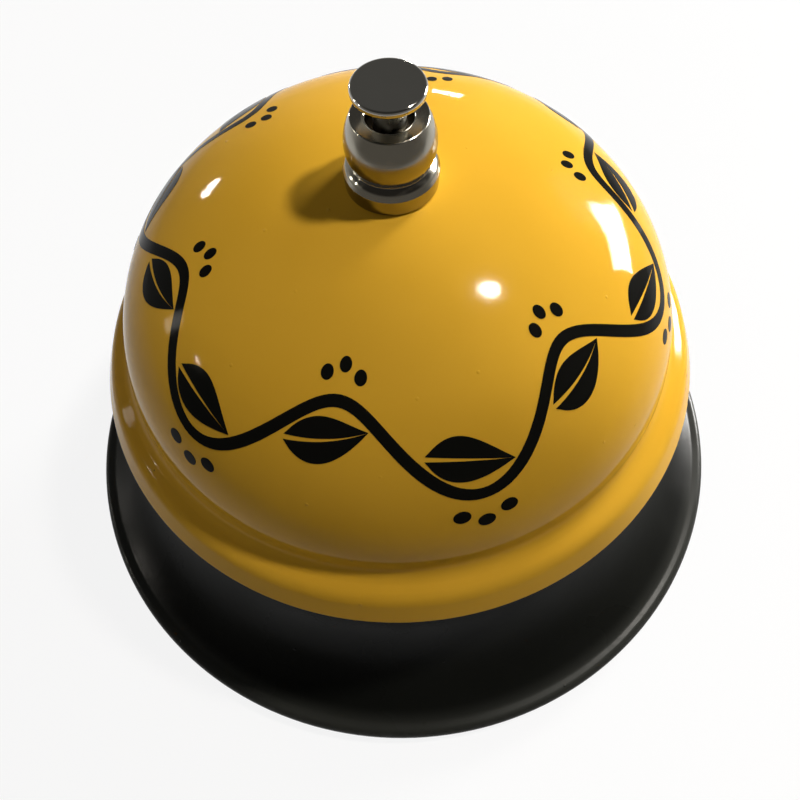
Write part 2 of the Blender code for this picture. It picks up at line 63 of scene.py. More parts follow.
# Room and floor
ROOM_FRONT = (0.2, 0.19, 0.175)
ROOM_BACK = (0.5, 0.49, 0.47)
ROOM_FRONT_END = -0.4
ROOM_BACK_START = 0.3
ROOM_OVERHEAD = 0.2
ROOM_WALL_TOP = 0.1
ROOM_OVERHEAD_START = 0.5
ROOM_LIGHT = 0.15
FLOOR_RADIUS = 4.0
FLOOR_MIDDLE = Vector((0.0, 45.0, 0.0)) * MM
FLOOR_FADE_START = 103 * MM
FLOOR_FADE_FRONT = 165 * MM
FLOOR_FADE_BACK = 300 * MM
FLOOR_GLOW = 0.88
FLOOR_BOUNCE = (0.24, 0.24, 0.24)

# Lamps: azimuth, elevation, width and height in degrees, then watts, colour and shape
LIGHT_AIM = Vector((0.0, 0.0, 45.0)) * MM
LIGHT_DISTANCE = 0.8
BULB = (1.0, 0.96, 0.89)
DAYLIGHT = (1.0, 0.98, 0.95)
OVERHEAD_LAMP = (9, 62, 5, 5, 3.4, BULB, "DISK")
GLINTS = {
    "overhead_glint": (9, 62, 5.2, 7.2, 13.0, BULB, "ELLIPSE"),
    "side_window": (30.5, 9, 18.5, 14, 28, DAYLIGHT, "RECTANGLE"),
    "far_window": (131, 11, 5, 3, 1.25, DAYLIGHT, "RECTANGLE"),
    "back_window": (80, 2, 5, 2, 0.55, DAYLIGHT, "RECTANGLE"),
    "left_lamp": (-176, 16.5, 2, 2, 0.7, (1.0, 0.94, 0.84), "DISK"),
    "left_panel": (169, 10, 4, 14, 0.6, (1.0, 0.96, 0.88), "RECTANGLE"),
}
GLOWS = {
    "window_glow": (42, 16, 14, 14, 8.3, DAYLIGHT, "RECTANGLE"),
    "left_fill": (-165, 30, 60, 60, 1.15, DAYLIGHT, "RECTANGLE"),
}

# How finely shapes are cut
LARGE_SEGMENTS = 192
SMALL_SEGMENTS = 96
TINY_SEGMENTS = 48
GUIDE_RADIUS = 1.0 * MM
ARC_STEP = radians(12)
ARC_CHORD = 0.6 * MM
ARC_LEAST_STEPS = 4
EDGE_STEPS = 2
FILLET_SHARE = 0.85
HOLD = 0.05 * MM
HOLD_SHARE = 0.3
WELD = 0.001 * MM
FLAT_ANGLE = radians(1)
SMOOTH_ANGLE = radians(40)
CUT_OVERRUN = 1.0 * MM

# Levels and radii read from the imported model
base_low, base_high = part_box("base_pan")
dome_low, dome_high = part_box("bell_dome")
nut_low, nut_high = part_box("barrel_nut")
button_low, button_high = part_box("push_button")
rod_low, rod_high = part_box("plunger_rod")
collar_low, collar_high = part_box("spring_collar")
spring_low, spring_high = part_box("return_spring")
post_low, post_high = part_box("post")
packing_low, packing_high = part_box("dome_washer")
lock_low, lock_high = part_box("post_lock_washer")
hex_low, hex_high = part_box("post_nut")
yoke_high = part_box("lever_yoke")[1]
pin_low, pin_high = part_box("pivot_pin")
lever_low, lever_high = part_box("hammer_lever")
rivet_low, rivet_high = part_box("hammer_rivet")

# Base pan
BASE_SHEET = 0.8 * MM
BASE_FLANGE_WIDTH = 6.0 * MM
RIM_HEIGHT = 2.0 * MM
RIM_FILLET = 1.0 * MM
BRIM_WIDTH = 1.6 * MM
BRIM_RISE = 0.3 * MM
BRIM_FILLET = 1.2 * MM
SKIRT_KNEE_RADIUS = 32.6 * MM
SKIRT_KNEE_HEIGHT = 8.6 * MM
SKIRT_FILLET = 18.0 * MM
SHOULDER_RADIUS = 31.0 * MM
SHOULDER_FILLET = 2.0 * MM
SHEET_EDGE = 0.25 * MM
THREAD_HOLE = 2.7 * MM

# Wear on the enamel
SCUFF_WIDTH = 0.5 * MM
SCUFF_WORN_WIDTH = 0.05 * MM
SCUFF_HAZE = 0.2
SPECK_CORE = 0.3

# Feet
FOOT_COUNT = 4
FOOT_EDGE = 0.2 * MM
FOOT_CUP = 0.08 * MM
FOOT_CUP_SHARE = 0.6

# Bell dome
DOME_SHEET = 0.8 * MM
DOME_WALL_RADIUS = 30.9 * MM
CROWN_RADIUS = 42.2 * MM
KNUCKLE_RADIUS = 19.5 * MM
WALL_DROP = 0.28 * MM
WALL_LEAN = radians(6)
FLARE_RISE = 1.6 * MM
FLARE_FILLET = 2.4 * MM
LIP_BAND = 3.25 * MM
LIP_TAPER = 1.26 * MM
LIP_FILLET = 2.6 * MM

# Where the dome's two arcs meet, worked out from the lip upwards
band_top = dome_low.z + LIP_BAND
flare_top = band_top + FLARE_RISE
knuckle_height = flare_top + WALL_DROP
knuckle_reach = DOME_WALL_RADIUS - KNUCKLE_RADIUS
crown_drop = sqrt((CROWN_RADIUS - KNUCKLE_RADIUS) ** 2 - knuckle_reach ** 2)
crown_centre = knuckle_height - crown_drop
seam_tilt = acos(crown_drop / (CROWN_RADIUS - KNUCKLE_RADIUS))
seam_length = seam_tilt * CROWN_RADIUS

# Barrel nut
NUT_MOUTH = 2.13 * MM
NUT_MOUTH_EASE = 0.35 * MM
NUT_FACE = 3.5 * MM
NUT_FACE_EASE = 0.15 * MM
NUT_BELLY = 4.26 * MM
NUT_BELLY_HEIGHT = 4.5 * MM
NUT_GROOVE = 3.75 * MM
NUT_GROOVE_HEIGHT = 2.45 * MM
NUT_GROOVE_FILLET = 0.12 * MM
NUT_BEAD_BULGE = 0.12 * MM
NUT_BEAD_FILLET = 1.0 * MM
NUT_FLANGE_HEIGHT = 1.35 * MM
NUT_FLANGE_FILLET = 0.18 * MM
NUT_FLANGE_TAPER = 0.1 * MM
NUT_BORE = 2.8 * MM
NUT_LIP_HEIGHT = 0.8 * MM
NUT_EDGE = 0.15 * MM
NUT_SEAT_GAP = 0.05 * MM

# Plunger
BUTTON_CONE = 0.23 * MM
BUTTON_EDGE = 0.3 * MM
BUTTON_ROOF = 0.43 * MM
ROD_SOCKET = 1.3 * MM
NECK_RADIUS = 1.5 * MM
NECK_GAP = 0.02 * MM
COLLAR_EDGE = 0.08 * MM
SPRING_WIRE = 0.17 * MM
SPRING_WIRE_SIDES = 12
SPRING_TURNS = 3.5
SPRING_STEPS = 48
SPRING_END_PITCH = 0.5

# Post and what it clamps
SEAT_GAP = 0.1 * MM
YOKE_SHEET = 1.0 * MM
YOKE_EDGE = 0.14 * MM
POST_RADIUS = 3.4 * MM
POST_BORE = 1.5 * MM
POST_FOOT_HEIGHT = 2.0 * MM
POST_FOOT_EDGE = 0.4 * MM
POST_FILLET = 1.2 * MM
THREAD_CREST = 2.6 * MM
THREAD_DEPTH = 0.34 * MM
THREAD_PITCH = 0.7 * MM
THREAD_STEPS = 64
THREAD_CORNERS = 3
RING_EDGE = 0.12 * MM
LOCK_SPLIT = 0.8 * MM
HEX_CHAMFER = radians(30)
HEX_CORNER_EASE = 0.25 * MM
HEX_RINGS = 10
WINDOW_HALF_WIDTH = 1.3 * MM
WINDOW_TOP_GAP = 1.5 * MM
WINDOW_HEIGHT = 5.4 * MM
post_shoulder = yoke_high.z - YOKE_SHEET - SEAT_GAP
post_foot = base_high.z + SEAT_GAP
thread_root = THREAD_CREST - THREAD_DEPTH

# Lever and hammer
LEVER_BOSS = 2.4 * MM
LEVER_TAIL_HALF = 1.2 * MM
LEVER_ARM_HALF = 1.3 * MM
LEVER_EDGE = 0.18 * MM
LEVER_PIN_HOLE = 1.3 * MM
LEVER_RIVET_HOLE = 0.8 * MM
HEAD_RADIUS = 3.0 * MM
HEAD_TAIL = 2.6 * MM
HEAD_EDGE = 0.35 * MM
HEAD_POCKET = 1.4 * MM
HEAD_SLOT_HALF = 1.1 * MM
PIN_RADIUS = 1.0 * MM
PIN_HEAD_HEIGHT = 0.6 * MM
PIN_HEAD_EDGE = 0.3 * MM
RIVET_EDGE = 0.2 * MM
UPRIGHT = Matrix.Rotation(pi / 2, 4, "X")
pivot = (pin_low + pin_high) / 2
strike = (rivet_low + rivet_high) / 2
arm = strike - pivot
arm_angle = atan2(arm.z, arm.x)

# Printed vine round the dome: how finely its pieces are cut, then what its tree is given
VINE_STEM_POINTS = 4
VINE_STEPS_PER_WAVE = 48
LEAF_FULLNESS = 0.75
LEAF_POINTS_ALONG = 25
LEAF_POINTS_ACROSS = 5
BERRY_MIDDLE_LIFT = 0.6
BERRY_COUNT = 3
BERRY_SIDES = 24
VINE_WAVES = 6
VINE_CENTRE = 27.0 * MM
vine_tilt = seam_tilt + (VINE_CENTRE - seam_length) / KNUCKLE_RADIUS
VINE_COUNTS = {"Waves": VINE_WAVES, "Steps": VINE_WAVES * VINE_STEPS_PER_WAVE + 1}
VINE_SIZES = {
    "Band Centre": VINE_CENTRE,
    "Band Length": 2 * pi * (knuckle_reach + KNUCKLE_RADIUS * sin(vine_tilt)),
    "Sway": 4.8 * MM,
    "Stem Width": 1.2 * MM,
    "Leaf Start": 1.9 * MM,
    "Leaf Length": 8.2 * MM,
    "Leaf Width": 4.5 * MM,
    "Leaf Vein": 0.5 * MM,
    "Leaf Tilt": radians(8),
    "Leaf Bend": 0.9 * MM,
    "Berry Radius": 0.75 * MM,
    "Berry Spread": 2.0 * MM,
    "Berry Lift": 1.7 * MM,
    "Film": 0.03 * MM,
    "Seat": 0.02 * MM,
    "Crown Radius": CROWN_RADIUS,
    "Crown Height": crown_centre,
    "Knuckle Radius": KNUCKLE_RADIUS,
    "Knuckle Reach": knuckle_reach,
    "Knuckle Height": knuckle_height,
    "Seam Length": seam_length,
}


class Wire:
    """A node's output, which other nodes take and which can be reckoned with like a number."""

    def __init__(self, tree, socket):
        self.tree = tree
        self.socket = socket

    def __add__(self, other):
        return reckon("ADD", self, other)

    def __sub__(self, other):
        return reckon("SUBTRACT", self, other)

    def __rsub__(self, other):
        return reckon("SUBTRACT", other, self)

    def __mul__(self, other):
        return reckon("MULTIPLY", self, other)

    def __truediv__(self, other):
        return reckon("DIVIDE", self, other)

    def __pow__(self, other):
        return reckon("POWER", self, other)


def plug(socket, value):
    """Fills a node's input with a wire or a plain value."""
    if isinstance(value, Wire):
        value.tree.links.new(value.socket, socket)
    else:
        socket.default_value = value


def node(tree, kind, values=None, **options):
    """Adds a node, sets its options and fills its inputs."""
    made = tree.nodes.new(kind)
    for option, choice in options.items():
        setattr(made, option, choice)
    for key, value in (values or {}).items():
        plug(made.inputs[key], value)
    return made


def shade(tree, kind, values=None, output=0, **options):
    """Wire from a new shading or math node."""
    return Wire(tree, node(tree, "ShaderNode" + kind, values, **options).outputs[output])


def form(tree, kind, values=None, output=0, **options):
    """Wire from a new geometry node."""
    return Wire(tree, node(tree, "GeometryNode" + kind, values, **options).outputs[output])


def reckon(operation, *terms):
    """The result of a math node on wires and numbers."""
    tree = next(term.tree for term in terms if isinstance(term, Wire))
    return shade(tree, "Math", dict(enumerate(terms)), operation=operation)


def parts_of(vector):
    """X, Y and Z of a vector."""
    made = node(vector.tree, "ShaderNodeSeparateXYZ", {0: vector})
    return [Wire(vector.tree, socket) for socket in made.outputs]


def vector_of(tree, x=0.0, y=0.0, z=0.0):
    return shade(tree, "CombineXYZ", {0: x, 1: y, 2: z})


def here(tree):
    """X, Y and Z of the point that a tree is working on."""
    return parts_of(form(tree, "InputPosition"))


def placed(shape, x, y, z):
    """A shape with its points put at those coordinates."""
    place = vector_of(shape.tree, x, y, z)
    return form(shape.tree, "SetPosition", {"Geometry": shape, "Position": place})


def shifted(shape, **amounts):
    """A shape with its points moved by those amounts."""
    offset = vector_of(shape.tree, **amounts)
    return form(shape.tree, "SetPosition", {"Geometry": shape, "Offset": offset})


def joined(*shapes):
    tree = shapes[0].tree
    whole = node(tree, "GeometryNodeJoinGeometry")
    for shape in shapes:
        plug(whole.inputs[0], shape)
    return Wire(tree, whole.outputs[0])


def flipped(shape):
    """A shape with its faces turned over."""
    return form(shape.tree, "FlipFaces", {"Mesh": shape})


def welded(shape):
    """A realised shape with its doubles merged."""
    real = form(shape.tree, "RealizeInstances", {"Geometry": shape})
    return form(shape.tree, "MergeByDistance", {"Geometry": real, "Distance": WELD})


def circle_of(tree, sides, radius):
    values = {"Resolution": sides, "Radius": radius}
    return form(tree, "CurvePrimitiveCircle", values, mode="RADIUS")


def helix_of(tree, given, radius):
    return form(tree, "CurveSpiral", {
        "Resolution": given["Steps"], "Rotations": given["Turns"], "Height": given["Height"],
        "Start Radius": radius, "End Radius": radius})


def resampled(curve, count):
    return form(curve.tree, "ResampleCurve", {"Curve": curve, "Count": count}, mode="COUNT")


def swept(path, profile, capped=False):
    """Skin of a profile that follows a path."""
    return form(path.tree, "CurveToMesh", {
        "Curve": path, "Profile Curve": profile, "Fill Caps": capped})


def start_tree(name, counts, sizes):
    """Empty geometry tree, and its inputs by name: a mesh, whole numbers, sizes and a material."""
    tree = bpy.data.node_groups.new(name, "GeometryNodeTree")
    kinds = {"Mesh": "Geometry", **dict.fromkeys(counts, "Int"), **dict.fromkeys(sizes, "Float")}
    kinds["Material"] = "Material"
    for label, kind in kinds.items():
        tree.interface.new_socket(label, in_out="INPUT", socket_type="NodeSocket" + kind)
    tree.interface.new_socket("Geometry", in_out="OUTPUT", socket_type="NodeSocketGeometry")
    source = node(tree, "NodeGroupInput")
    return tree, {label: Wire(tree, source.outputs[label]) for label in kinds}


def end_tree(shape, given):
    """Welds and paints what a tree made, and hands it out."""
    painted = form(shape.tree, "SetMaterial", {
        "Geometry": welded(shape), "Material": given["Material"]})
    plug(node(shape.tree, "NodeGroupOutput").inputs[0], painted)
    return shape.tree


def turned_tree():
    """Sweeps a piece's own outline, drawn in the XZ plane, once round the Z axis."""
    tree, given = start_tree("turned", ["Segments"], ["Guide Radius"])
    radius, depth, height = here(tree)
    flat = placed(given["Mesh"], radius - given["Guide Radius"], height * -1.0, depth)
    outline = form(tree, "MeshToCurve", {"Mesh": flat})
    guide = circle_of(tree, given["Segments"], given["Guide Radius"])
    return end_tree(swept(guide, outline), given)


def coil_tree():
    """Round wire on a helix, with a closer pitch at both ends."""
    tree, given = start_tree("coil", ["Steps"], [
        "Turns", "Coil Radius", "Wire Radius", "Bottom", "Height", "End Pitch"])
    helix = helix_of(tree, given, given["Coil Radius"])
    share = form(tree, "SplineParameter", output="Factor")
    x, y, _ = here(tree)
    slack = (1.0 - given["End Pitch"]) / (2 * pi)
    eased = share - reckon("SINE", share * (2 * pi)) * slack
    coil = placed(helix, x, y, eased * given["Height"] + given["Bottom"])
    section = circle_of(tree, SPRING_WIRE_SIDES, given["Wire Radius"])
    return end_tree(swept(coil, section, capped=True), given)


def thread_tree():
    """Three-cornered thread ridge on a helix, its crest pointing away from the axis."""
    tree, given = start_tree("thread", ["Steps"], [
        "Turns", "Root Radius", "Ridge", "Bottom", "Height"])
    helix = helix_of(tree, given, given["Root Radius"])
    upright = form(tree, "SetCurveNormal", {"Curve": helix}, mode="Z_UP")
    section = circle_of(tree, THREAD_CORNERS, given["Ridge"])
    return end_tree(swept(shifted(upright, z=given["Bottom"]), section, capped=True), given)


def stem_of(tree, given, half_width):
    """Waving stem along X, a flat band."""
    line = form(tree, "CurvePrimitiveLine", {"End": vector_of(tree, given["Band Length"])})
    share = form(tree, "SplineParameter", output="Factor")
    sway = reckon("SINE", share * (given["Waves"] * (2 * pi))) * given["Sway"]
    nib = form(tree, "CurvePrimitiveLine", {
        "Start": vector_of(tree, half_width * -1.0), "End": vector_of(tree, half_width)})
    waving = shifted(resampled(line, given["Steps"]), y=sway)
    return swept(waving, resampled(nib, VINE_STEM_POINTS))


def leaf_of(tree, given):
    """One leaf along X in the plane: two halves with an open vein between them, bent a little."""
    grid = form(tree, "MeshGrid", {
        "Size X": 1.0, "Size Y": 1.0,
        "Vertices X": LEAF_POINTS_ALONG, "Vertices Y": LEAF_POINTS_ACROSS})
    x, y, z = here(tree)
    along = x + 0.5
    across = y + 0.5
    edge = reckon("SINE", along ** LEAF_FULLNESS * pi) * (given["Leaf Width"] * 0.5)
    vein = (1.0 - along) * (given["Leaf Vein"] * 0.5)
    blade = reckon("MAXIMUM", edge - vein, 0.0)
    length = along * given["Leaf Length"] + given["Leaf Start"]
    half = placed(grid, length, across * blade + vein, z)
    mirrored = form(tree, "Transform", {"Geometry": half, "Scale": (1.0, -1.0, 1.0)})
    share = (x - given["Leaf Start"]) / given["Leaf Length"]
    return shifted(joined(half, flipped(mirrored)), y=share ** 2.0 * given["Leaf Bend"])


def side_of_index(tree):
    """Plus one at even places, minus one at odd ones."""
    return reckon("MODULO", form(tree, "InputIndex"), 2.0) * -2.0 + 1.0


def row_of_points(tree, count, start, step):
    """Points in a row along X."""
    return form(tree, "MeshLine", {
        "Count": count, "Start Location": vector_of(tree, start), "Offset": vector_of(tree, step)},
        mode="OFFSET")


def berries_of(tree, given):
    """Round berries in a fan above the origin, the middle one higher."""
    dot = form(tree, "MeshCircle", {
        "Vertices": BERRY_SIDES, "Radius": given["Berry Radius"]}, fill_type="TRIANGLE_FAN")
    row = row_of_points(tree, BERRY_COUNT, given["Berry Spread"] * -1.0, given["Berry Spread"])
    middle = reckon("COMPARE", form(tree, "InputIndex"), 1.0, 0.5)
    fan = shifted(row, y=(middle * BERRY_MIDDLE_LIFT + 1.0) * given["Berry Lift"])
    return form(tree, "InstanceOnPoints", {"Points": fan, "Instance": dot})


def film_of(drawing, given):
    """Closed film of ink from a flat drawing, sunk a little so that no gap shows under it."""
    sunk = shifted(welded(drawing), z=given["Seat"] * -1.0)
    raised = form(drawing.tree, "ExtrudeMesh", {
        "Mesh": sunk, "Offset": vector_of(drawing.tree, z=1.0), "Individual": False,
        "Offset Scale": given["Film"] + given["Seat"]}, mode="FACES")
    return joined(raised, flipped(sunk))


def wrapped(flat, given):
    """Lays a flat drawing on the dome: X runs round it, Y up its slope and Z away from it."""
    x, y, lift = here(flat.tree)
    slope = given["Band Centre"] - y
    on_knuckle = reckon("GREATER_THAN", slope, given["Seam Length"])
    past_seam = reckon("MAXIMUM", slope - given["Seam Length"], 0.0)
    crown_tilt = reckon("MINIMUM", slope, given["Seam Length"]) / given["Crown Radius"]
    tilt = crown_tilt + past_seam / given["Knuckle Radius"]
    bend = on_knuckle * (given["Knuckle Radius"] - given["Crown Radius"]) + given["Crown Radius"]
    rise = on_knuckle * (given["Knuckle Height"] - given["Crown Height"]) + given["Crown Height"]
    reach = bend + lift
    radius = reach * reckon("SINE", tilt) + on_knuckle * given["Knuckle Reach"]
    height = reach * reckon("COSINE", tilt) + rise
    bearing = x * (2 * pi) / given["Band Length"]
    east = radius * reckon("COSINE", bearing)
    north = radius * reckon("SINE", bearing)
    return placed(flat, east, north, height)


def vine_tree():
    """Running vine on the dome: a waving stem, a leaf in every hollow, berries over every crest."""
    tree, given = start_tree("vine", VINE_COUNTS, VINE_SIZES)
    half_stem = given["Stem Width"] * 0.5
    places = given["Waves"] * 2.0
    half_wave = given["Band Length"] / places
    side = side_of_index(tree)
    leaves = form(tree, "InstanceOnPoints", {
        "Points": row_of_points(tree, places, 0.0, half_wave), "Instance": leaf_of(tree, given),
        "Rotation": vector_of(tree, z=side * given["Leaf Tilt"]),
        "Scale": vector_of(tree, 1.0, side, 1.0)})
    crests = row_of_points(tree, places, half_wave * 0.5, half_wave)
    berries = form(tree, "InstanceOnPoints", {
        "Points": shifted(crests, y=side * (given["Sway"] + half_stem)),
        "Instance": berries_of(tree, given),
        "Rotation": vector_of(tree, z=(1.0 - side) * (pi / 2))})
    drawing = joined(stem_of(tree, given, half_stem), leaves, berries)
    return end_tree(wrapped(film_of(drawing, given), given), given)


def add_object(name, data):
    item = bpy.data.objects.new(name, data)
    bpy.context.scene.collection.objects.link(item)
    return item


def mesh_from(shape, name, material=None):
    """New mesh from a bmesh, which is freed."""
    mesh = bpy.data.meshes.new(name)
    shape.to_mesh(mesh)
    shape.free()
    if material:
        mesh.materials.append(material)
    return mesh


def plain_mesh(item):
    """An object's mesh with its modifiers applied."""
    graph = bpy.context.evaluated_depsgraph_get()
    return bpy.data.meshes.new_from_object(item.evaluated_get(graph), depsgraph=graph)


def settle(item):
    """Turns an object into a plain mesh that faces outwards and is smooth where it is round."""
    mesh = plain_mesh(item)
    item.modifiers.clear()
    item.data = mesh
    mesh.name = item.name
    shape = bmesh.new()
    shape.from_mesh(mesh)
    if shape.calc_volume(signed=True) < 0:
        mesh.flip_normals()
    shape.free()
    mesh.shade_smooth()
    mesh.set_sharp_from_angle(angle=SMOOTH_ANGLE)
    return item


def grow(name, tree, values, mesh=None):
    """A piece made by a tree from values given by input name, turned into a plain mesh."""
    item = add_object(name, mesh or bpy.data.meshes.new(name))
    modifier = item.modifiers.new(tree.name, "NODES")
    modifier.node_group = tree
    for entry in tree.interface.items_tree:
        if entry.in_out == "INPUT" and entry.name in values:
            modifier[entry.identifier] = values[entry.name]
    return settle(item)


def finish(name, colour, roughness, metallic=0.0, specular=0.5):
    """Principled material, and the point on the surface that its detail reads."""
    material = bpy.data.materials.new(name)
    material.use_nodes = True
    inputs = material.node_tree.nodes["Principled BSDF"].inputs
    inputs["Base Color"].default_value = (*colour, 1.0)
    inputs["Roughness"].default_value = roughness
    inputs["Metallic"].default_value = metallic
    inputs["Specular IOR Level"].default_value = specular
    return material, shade(material.node_tree, "TexCoord", output="Object")


def dress(material, colour=None, roughness=None, normal=None):
    """Wires detail into a material's shader."""
    inputs = material.node_tree.nodes["Principled BSDF"].inputs
    for label, detail in (("Base Color", colour), ("Roughness", roughness), ("Normal", normal)):
        if detail is not None:
            plug(inputs[label], detail)


def mottle(point, size, detail=2.0):
    """Noise whose patches are about that size across."""
    values = {"Vector": point, "Scale": 1.0 / size, "Detail": detail}
    return shade(point.tree, "TexNoise", values, output="Fac")


def graded(share, low, high, start=0.0, end=1.0):
    """Share from start to end mapped to low to high, held beyond them."""
    values = {"Value": share, "From Min": start, "From Max": end, "To Min": low, "To Max": high}
    return shade(share.tree, "MapRange", values, interpolation_type="SMOOTHSTEP")


def blended(share, first, second):
    """Colour between two colours."""
    made = node(share.tree, "ShaderNodeMix", {0: share}, data_type="RGBA")
    for key, colour in ((6, first), (7, second)):
        plug(made.inputs[key], colour if isinstance(colour, Wire) else (*colour, 1.0))
    return Wire(share.tree, made.outputs[2])


def specks(point, spacing, radius, share):
    """One at small soft-edged specks scattered through space, nought elsewhere."""
    cells = node(point.tree, "ShaderNodeTexVoronoi", {"Vector": point, "Scale": 1.0 / spacing})
    tint, distance = (Wire(point.tree, cells.outputs[label]) for label in ("Color", "Distance"))
    chosen = reckon("LESS_THAN", parts_of(tint)[0], share)
    edge = radius / spacing
    return graded(distance, 1.0, 0.0, start=SPECK_CORE * edge, end=edge) * chosen


def relief(height, depth, under=None):
    """Normal of a surface with that relief, on top of another one where given."""
    values = {"Height": height, "Distance": depth, "Strength": 1.0}
    if under is not None:
        values["Normal"] = under
    return shade(height.tree, "Bump", values)


def from_axis(point):
    """Distance from the Z axis, and height."""
    x, y, z = parts_of(point)
    return reckon("SQRT", x * x + y * y), z


def lathe_lines(point, pitch):
    """Fine lines that run round the axis on sides and faces alike."""
    radius, height = from_axis(point)
    values = {"W": radius + height, "Scale": 1.0 / pitch, "Detail": 2.0}
    return shade(point.tree, "TexNoise", values, output="Fac", noise_dimensions="1D")


def yellow_enamel():
    """Glossy yellow enamel: faint orange peel, a few dust nibs and dark specks."""
    material, point = finish("yellow_enamel", (0.82, 0.45, 0.036), roughness=0.08, specular=0.027)
    tone = graded(mottle(point, 14 * MM), 0.0, 1.0, start=0.3, end=0.7)
    colour = blended(tone, (0.80, 0.435, 0.033), (0.84, 0.462, 0.039))
    dark = specks(point, spacing=5.5 * MM, radius=0.16 * MM, share=0.5)
    smear = graded(mottle(point, 9 * MM, detail=4.0), 0.05, 0.11, start=0.35, end=0.7)
    peel = relief(mottle(point, 1.6 * MM), depth=0.011 * MM)
    dust = specks(point, spacing=3.1 * MM, radius=0.22 * MM, share=0.6)
    nibs = relief(dust, depth=0.05 * MM, under=peel)
    dress(material, blended(dark, colour, (0.12, 0.07, 0.02)), smear, nibs)
    return material


def black_ink():
    """Glossy black print."""
    material, point = finish("black_ink", (0.007, 0.007, 0.006), roughness=0.09, specular=0.02)
    patch = graded(mottle(point, 6 * MM, detail=3.0), 0.06, 0.12, start=0.35, end=0.7)
    dress(material, roughness=patch, normal=relief(mottle(point, 0.9 * MM), depth=0.006 * MM))
    return material


def black_enamel():
    """Semi-gloss black enamel: fine peel, soft smears, a brim painted lighter as a painted sheen, and
    scuffs on the rim.
    """
    material, point = finish("black_enamel", (0.01, 0.01, 0.009), roughness=0.3, specular=0.05)
    radius, _ = from_axis(point)
    rim = base_high.x
    at_rim = graded(radius, 0.0, 1.0, start=rim - SCUFF_WIDTH, end=rim - SCUFF_WORN_WIDTH)
    scuff = at_rim * graded(mottle(point, 2.2 * MM, detail=4.0), 0.0, 1.0, start=0.52, end=0.66)
    cloud = mottle(point, 20 * MM, detail=3.0)
    tone = blended(cloud, (0.006, 0.0065, 0.0055), (0.010, 0.0105, 0.009))
    # Painted sheen: the brim is painted lighter, standing in for a pale reflection along it.
    on_brim = graded(radius, 0.0, 1.0, start=rim - 2 * BRIM_WIDTH, end=rim - 0.5 * BRIM_WIDTH)
    brim_sheen = blended(on_brim, tone, (0.036, 0.037, 0.033))
    smear = graded(mottle(point, 16 * MM, detail=5.0), 0.22, 0.36, start=0.3, end=0.7)
    peel = relief(mottle(point, 1.1 * MM), depth=0.012 * MM)
    dust = specks(point, spacing=3.0 * MM, radius=0.2 * MM, share=0.5)
    nibs = relief(dust, depth=0.04 * MM, under=peel)
    dress(material, blended(scuff, brim_sheen, (0.05, 0.05, 0.048)), scuff * SCUFF_HAZE + smear, nibs)
    return material


def chrome(name, tone, haze, line_depth):
    """Bright plate over fine turning lines."""
    material, point = finish(name, tone, haze, metallic=1.0)
    patches = mottle(point, 1.8 * MM, detail=4.0)
    bloom = graded(patches, 0.7 * haze, 1.6 * haze, start=0.35, end=0.7)
    dress(material, roughness=bloom, normal=relief(lathe_lines(point, 0.09 * MM), line_depth))
    return material


def stained_metal(name, tone, roughness, patch_size, detail, tones, hazes):
    """Metal whose tone and haze change together in patches, and the point its detail reads."""
    material, point = finish(name, tone, roughness, metallic=1.0)
    stain = mottle(point, patch_size, detail)
    dress(material, blended(stain, *tones), graded(stain, *hazes, start=0.3, end=0.7))
    return material, point


def painted_shade_steel():
    """Steel painted almost black in patches: painted shade, so that the collar deep in the nut's bore
    looks dark.
    """
    tones = ((0.03, 0.026, 0.02), (0.08, 0.07, 0.055))
    return stained_metal(
        "painted_shade_steel", (0.05, 0.045, 0.035), 0.4, 0.6 * MM, 4.0, tones, (0.3, 0.5))[0]


def zinc_steel():
    """Satin zinc plate, slightly blotched."""
    tones = ((0.46, 0.46, 0.45), (0.62, 0.62, 0.59))
    material, point = stained_metal(
        "zinc_steel", (0.55, 0.55, 0.53), 0.34, 2.4 * MM, 5.0, tones, (0.26, 0.44))
    dress(material, normal=relief(lathe_lines(point, 0.14 * MM), depth=0.004 * MM))
    return material


def spring_steel():
    """Drawn wire with a faint oil bloom."""
    tones = ((0.34, 0.34, 0.36), (0.5, 0.49, 0.47))
    return stained_metal(
        "spring_steel", (0.42, 0.42, 0.43), 0.3, 0.8 * MM, 4.0, tones, (0.22, 0.4))[0]


def brass():
    """Turned brass, a little tarnished."""
    tones = ((0.66, 0.46, 0.18), (0.45, 0.29, 0.10))
    material, point = stained_metal(
        "brass", (0.62, 0.43, 0.16), 0.28, 1.9 * MM, 5.0, tones, (0.2, 0.42))
    dress(material, normal=relief(mottle(point, 0.25 * MM), depth=0.006 * MM))
    return material


def rubber():
    """Matt black rubber with a moulded grain."""
    material, point = finish("rubber", (0.02, 0.02, 0.02), roughness=0.8)
    dust = graded(mottle(point, 1.5 * MM, detail=5.0), 0.0, 0.6, start=0.45, end=0.75)
    colour = blended(dust, (0.018, 0.018, 0.018), (0.05, 0.048, 0.045))
    dress(material, colour, normal=relief(mottle(point, 0.12 * MM), depth=0.02 * MM))
    return material


def fibre():
    """Dull vulcanised fibre."""
    material, point = finish("fibre", (0.12, 0.11, 0.10), roughness=0.75)
    strands = mottle(point, 0.5 * MM, detail=6.0)
    colour = blended(strands, (0.09, 0.08, 0.075), (0.16, 0.14, 0.12))
    dress(material, colour, normal=relief(strands, depth=0.03 * MM))
    return material


def arc(centre, radius, start, end):
    """Points along an arc of an outline, close enough together to look round."""
    sweep = abs(end - start)
    steps = max(ARC_LEAST_STEPS, ceil(sweep / ARC_STEP), ceil(sweep * radius / ARC_CHORD))
    points = []
    for step in range(steps + 1):
        angle = start + (end - start) * step / steps
        points.append((centre[0] + radius * cos(angle), centre[1] + radius * sin(angle)))
    return points


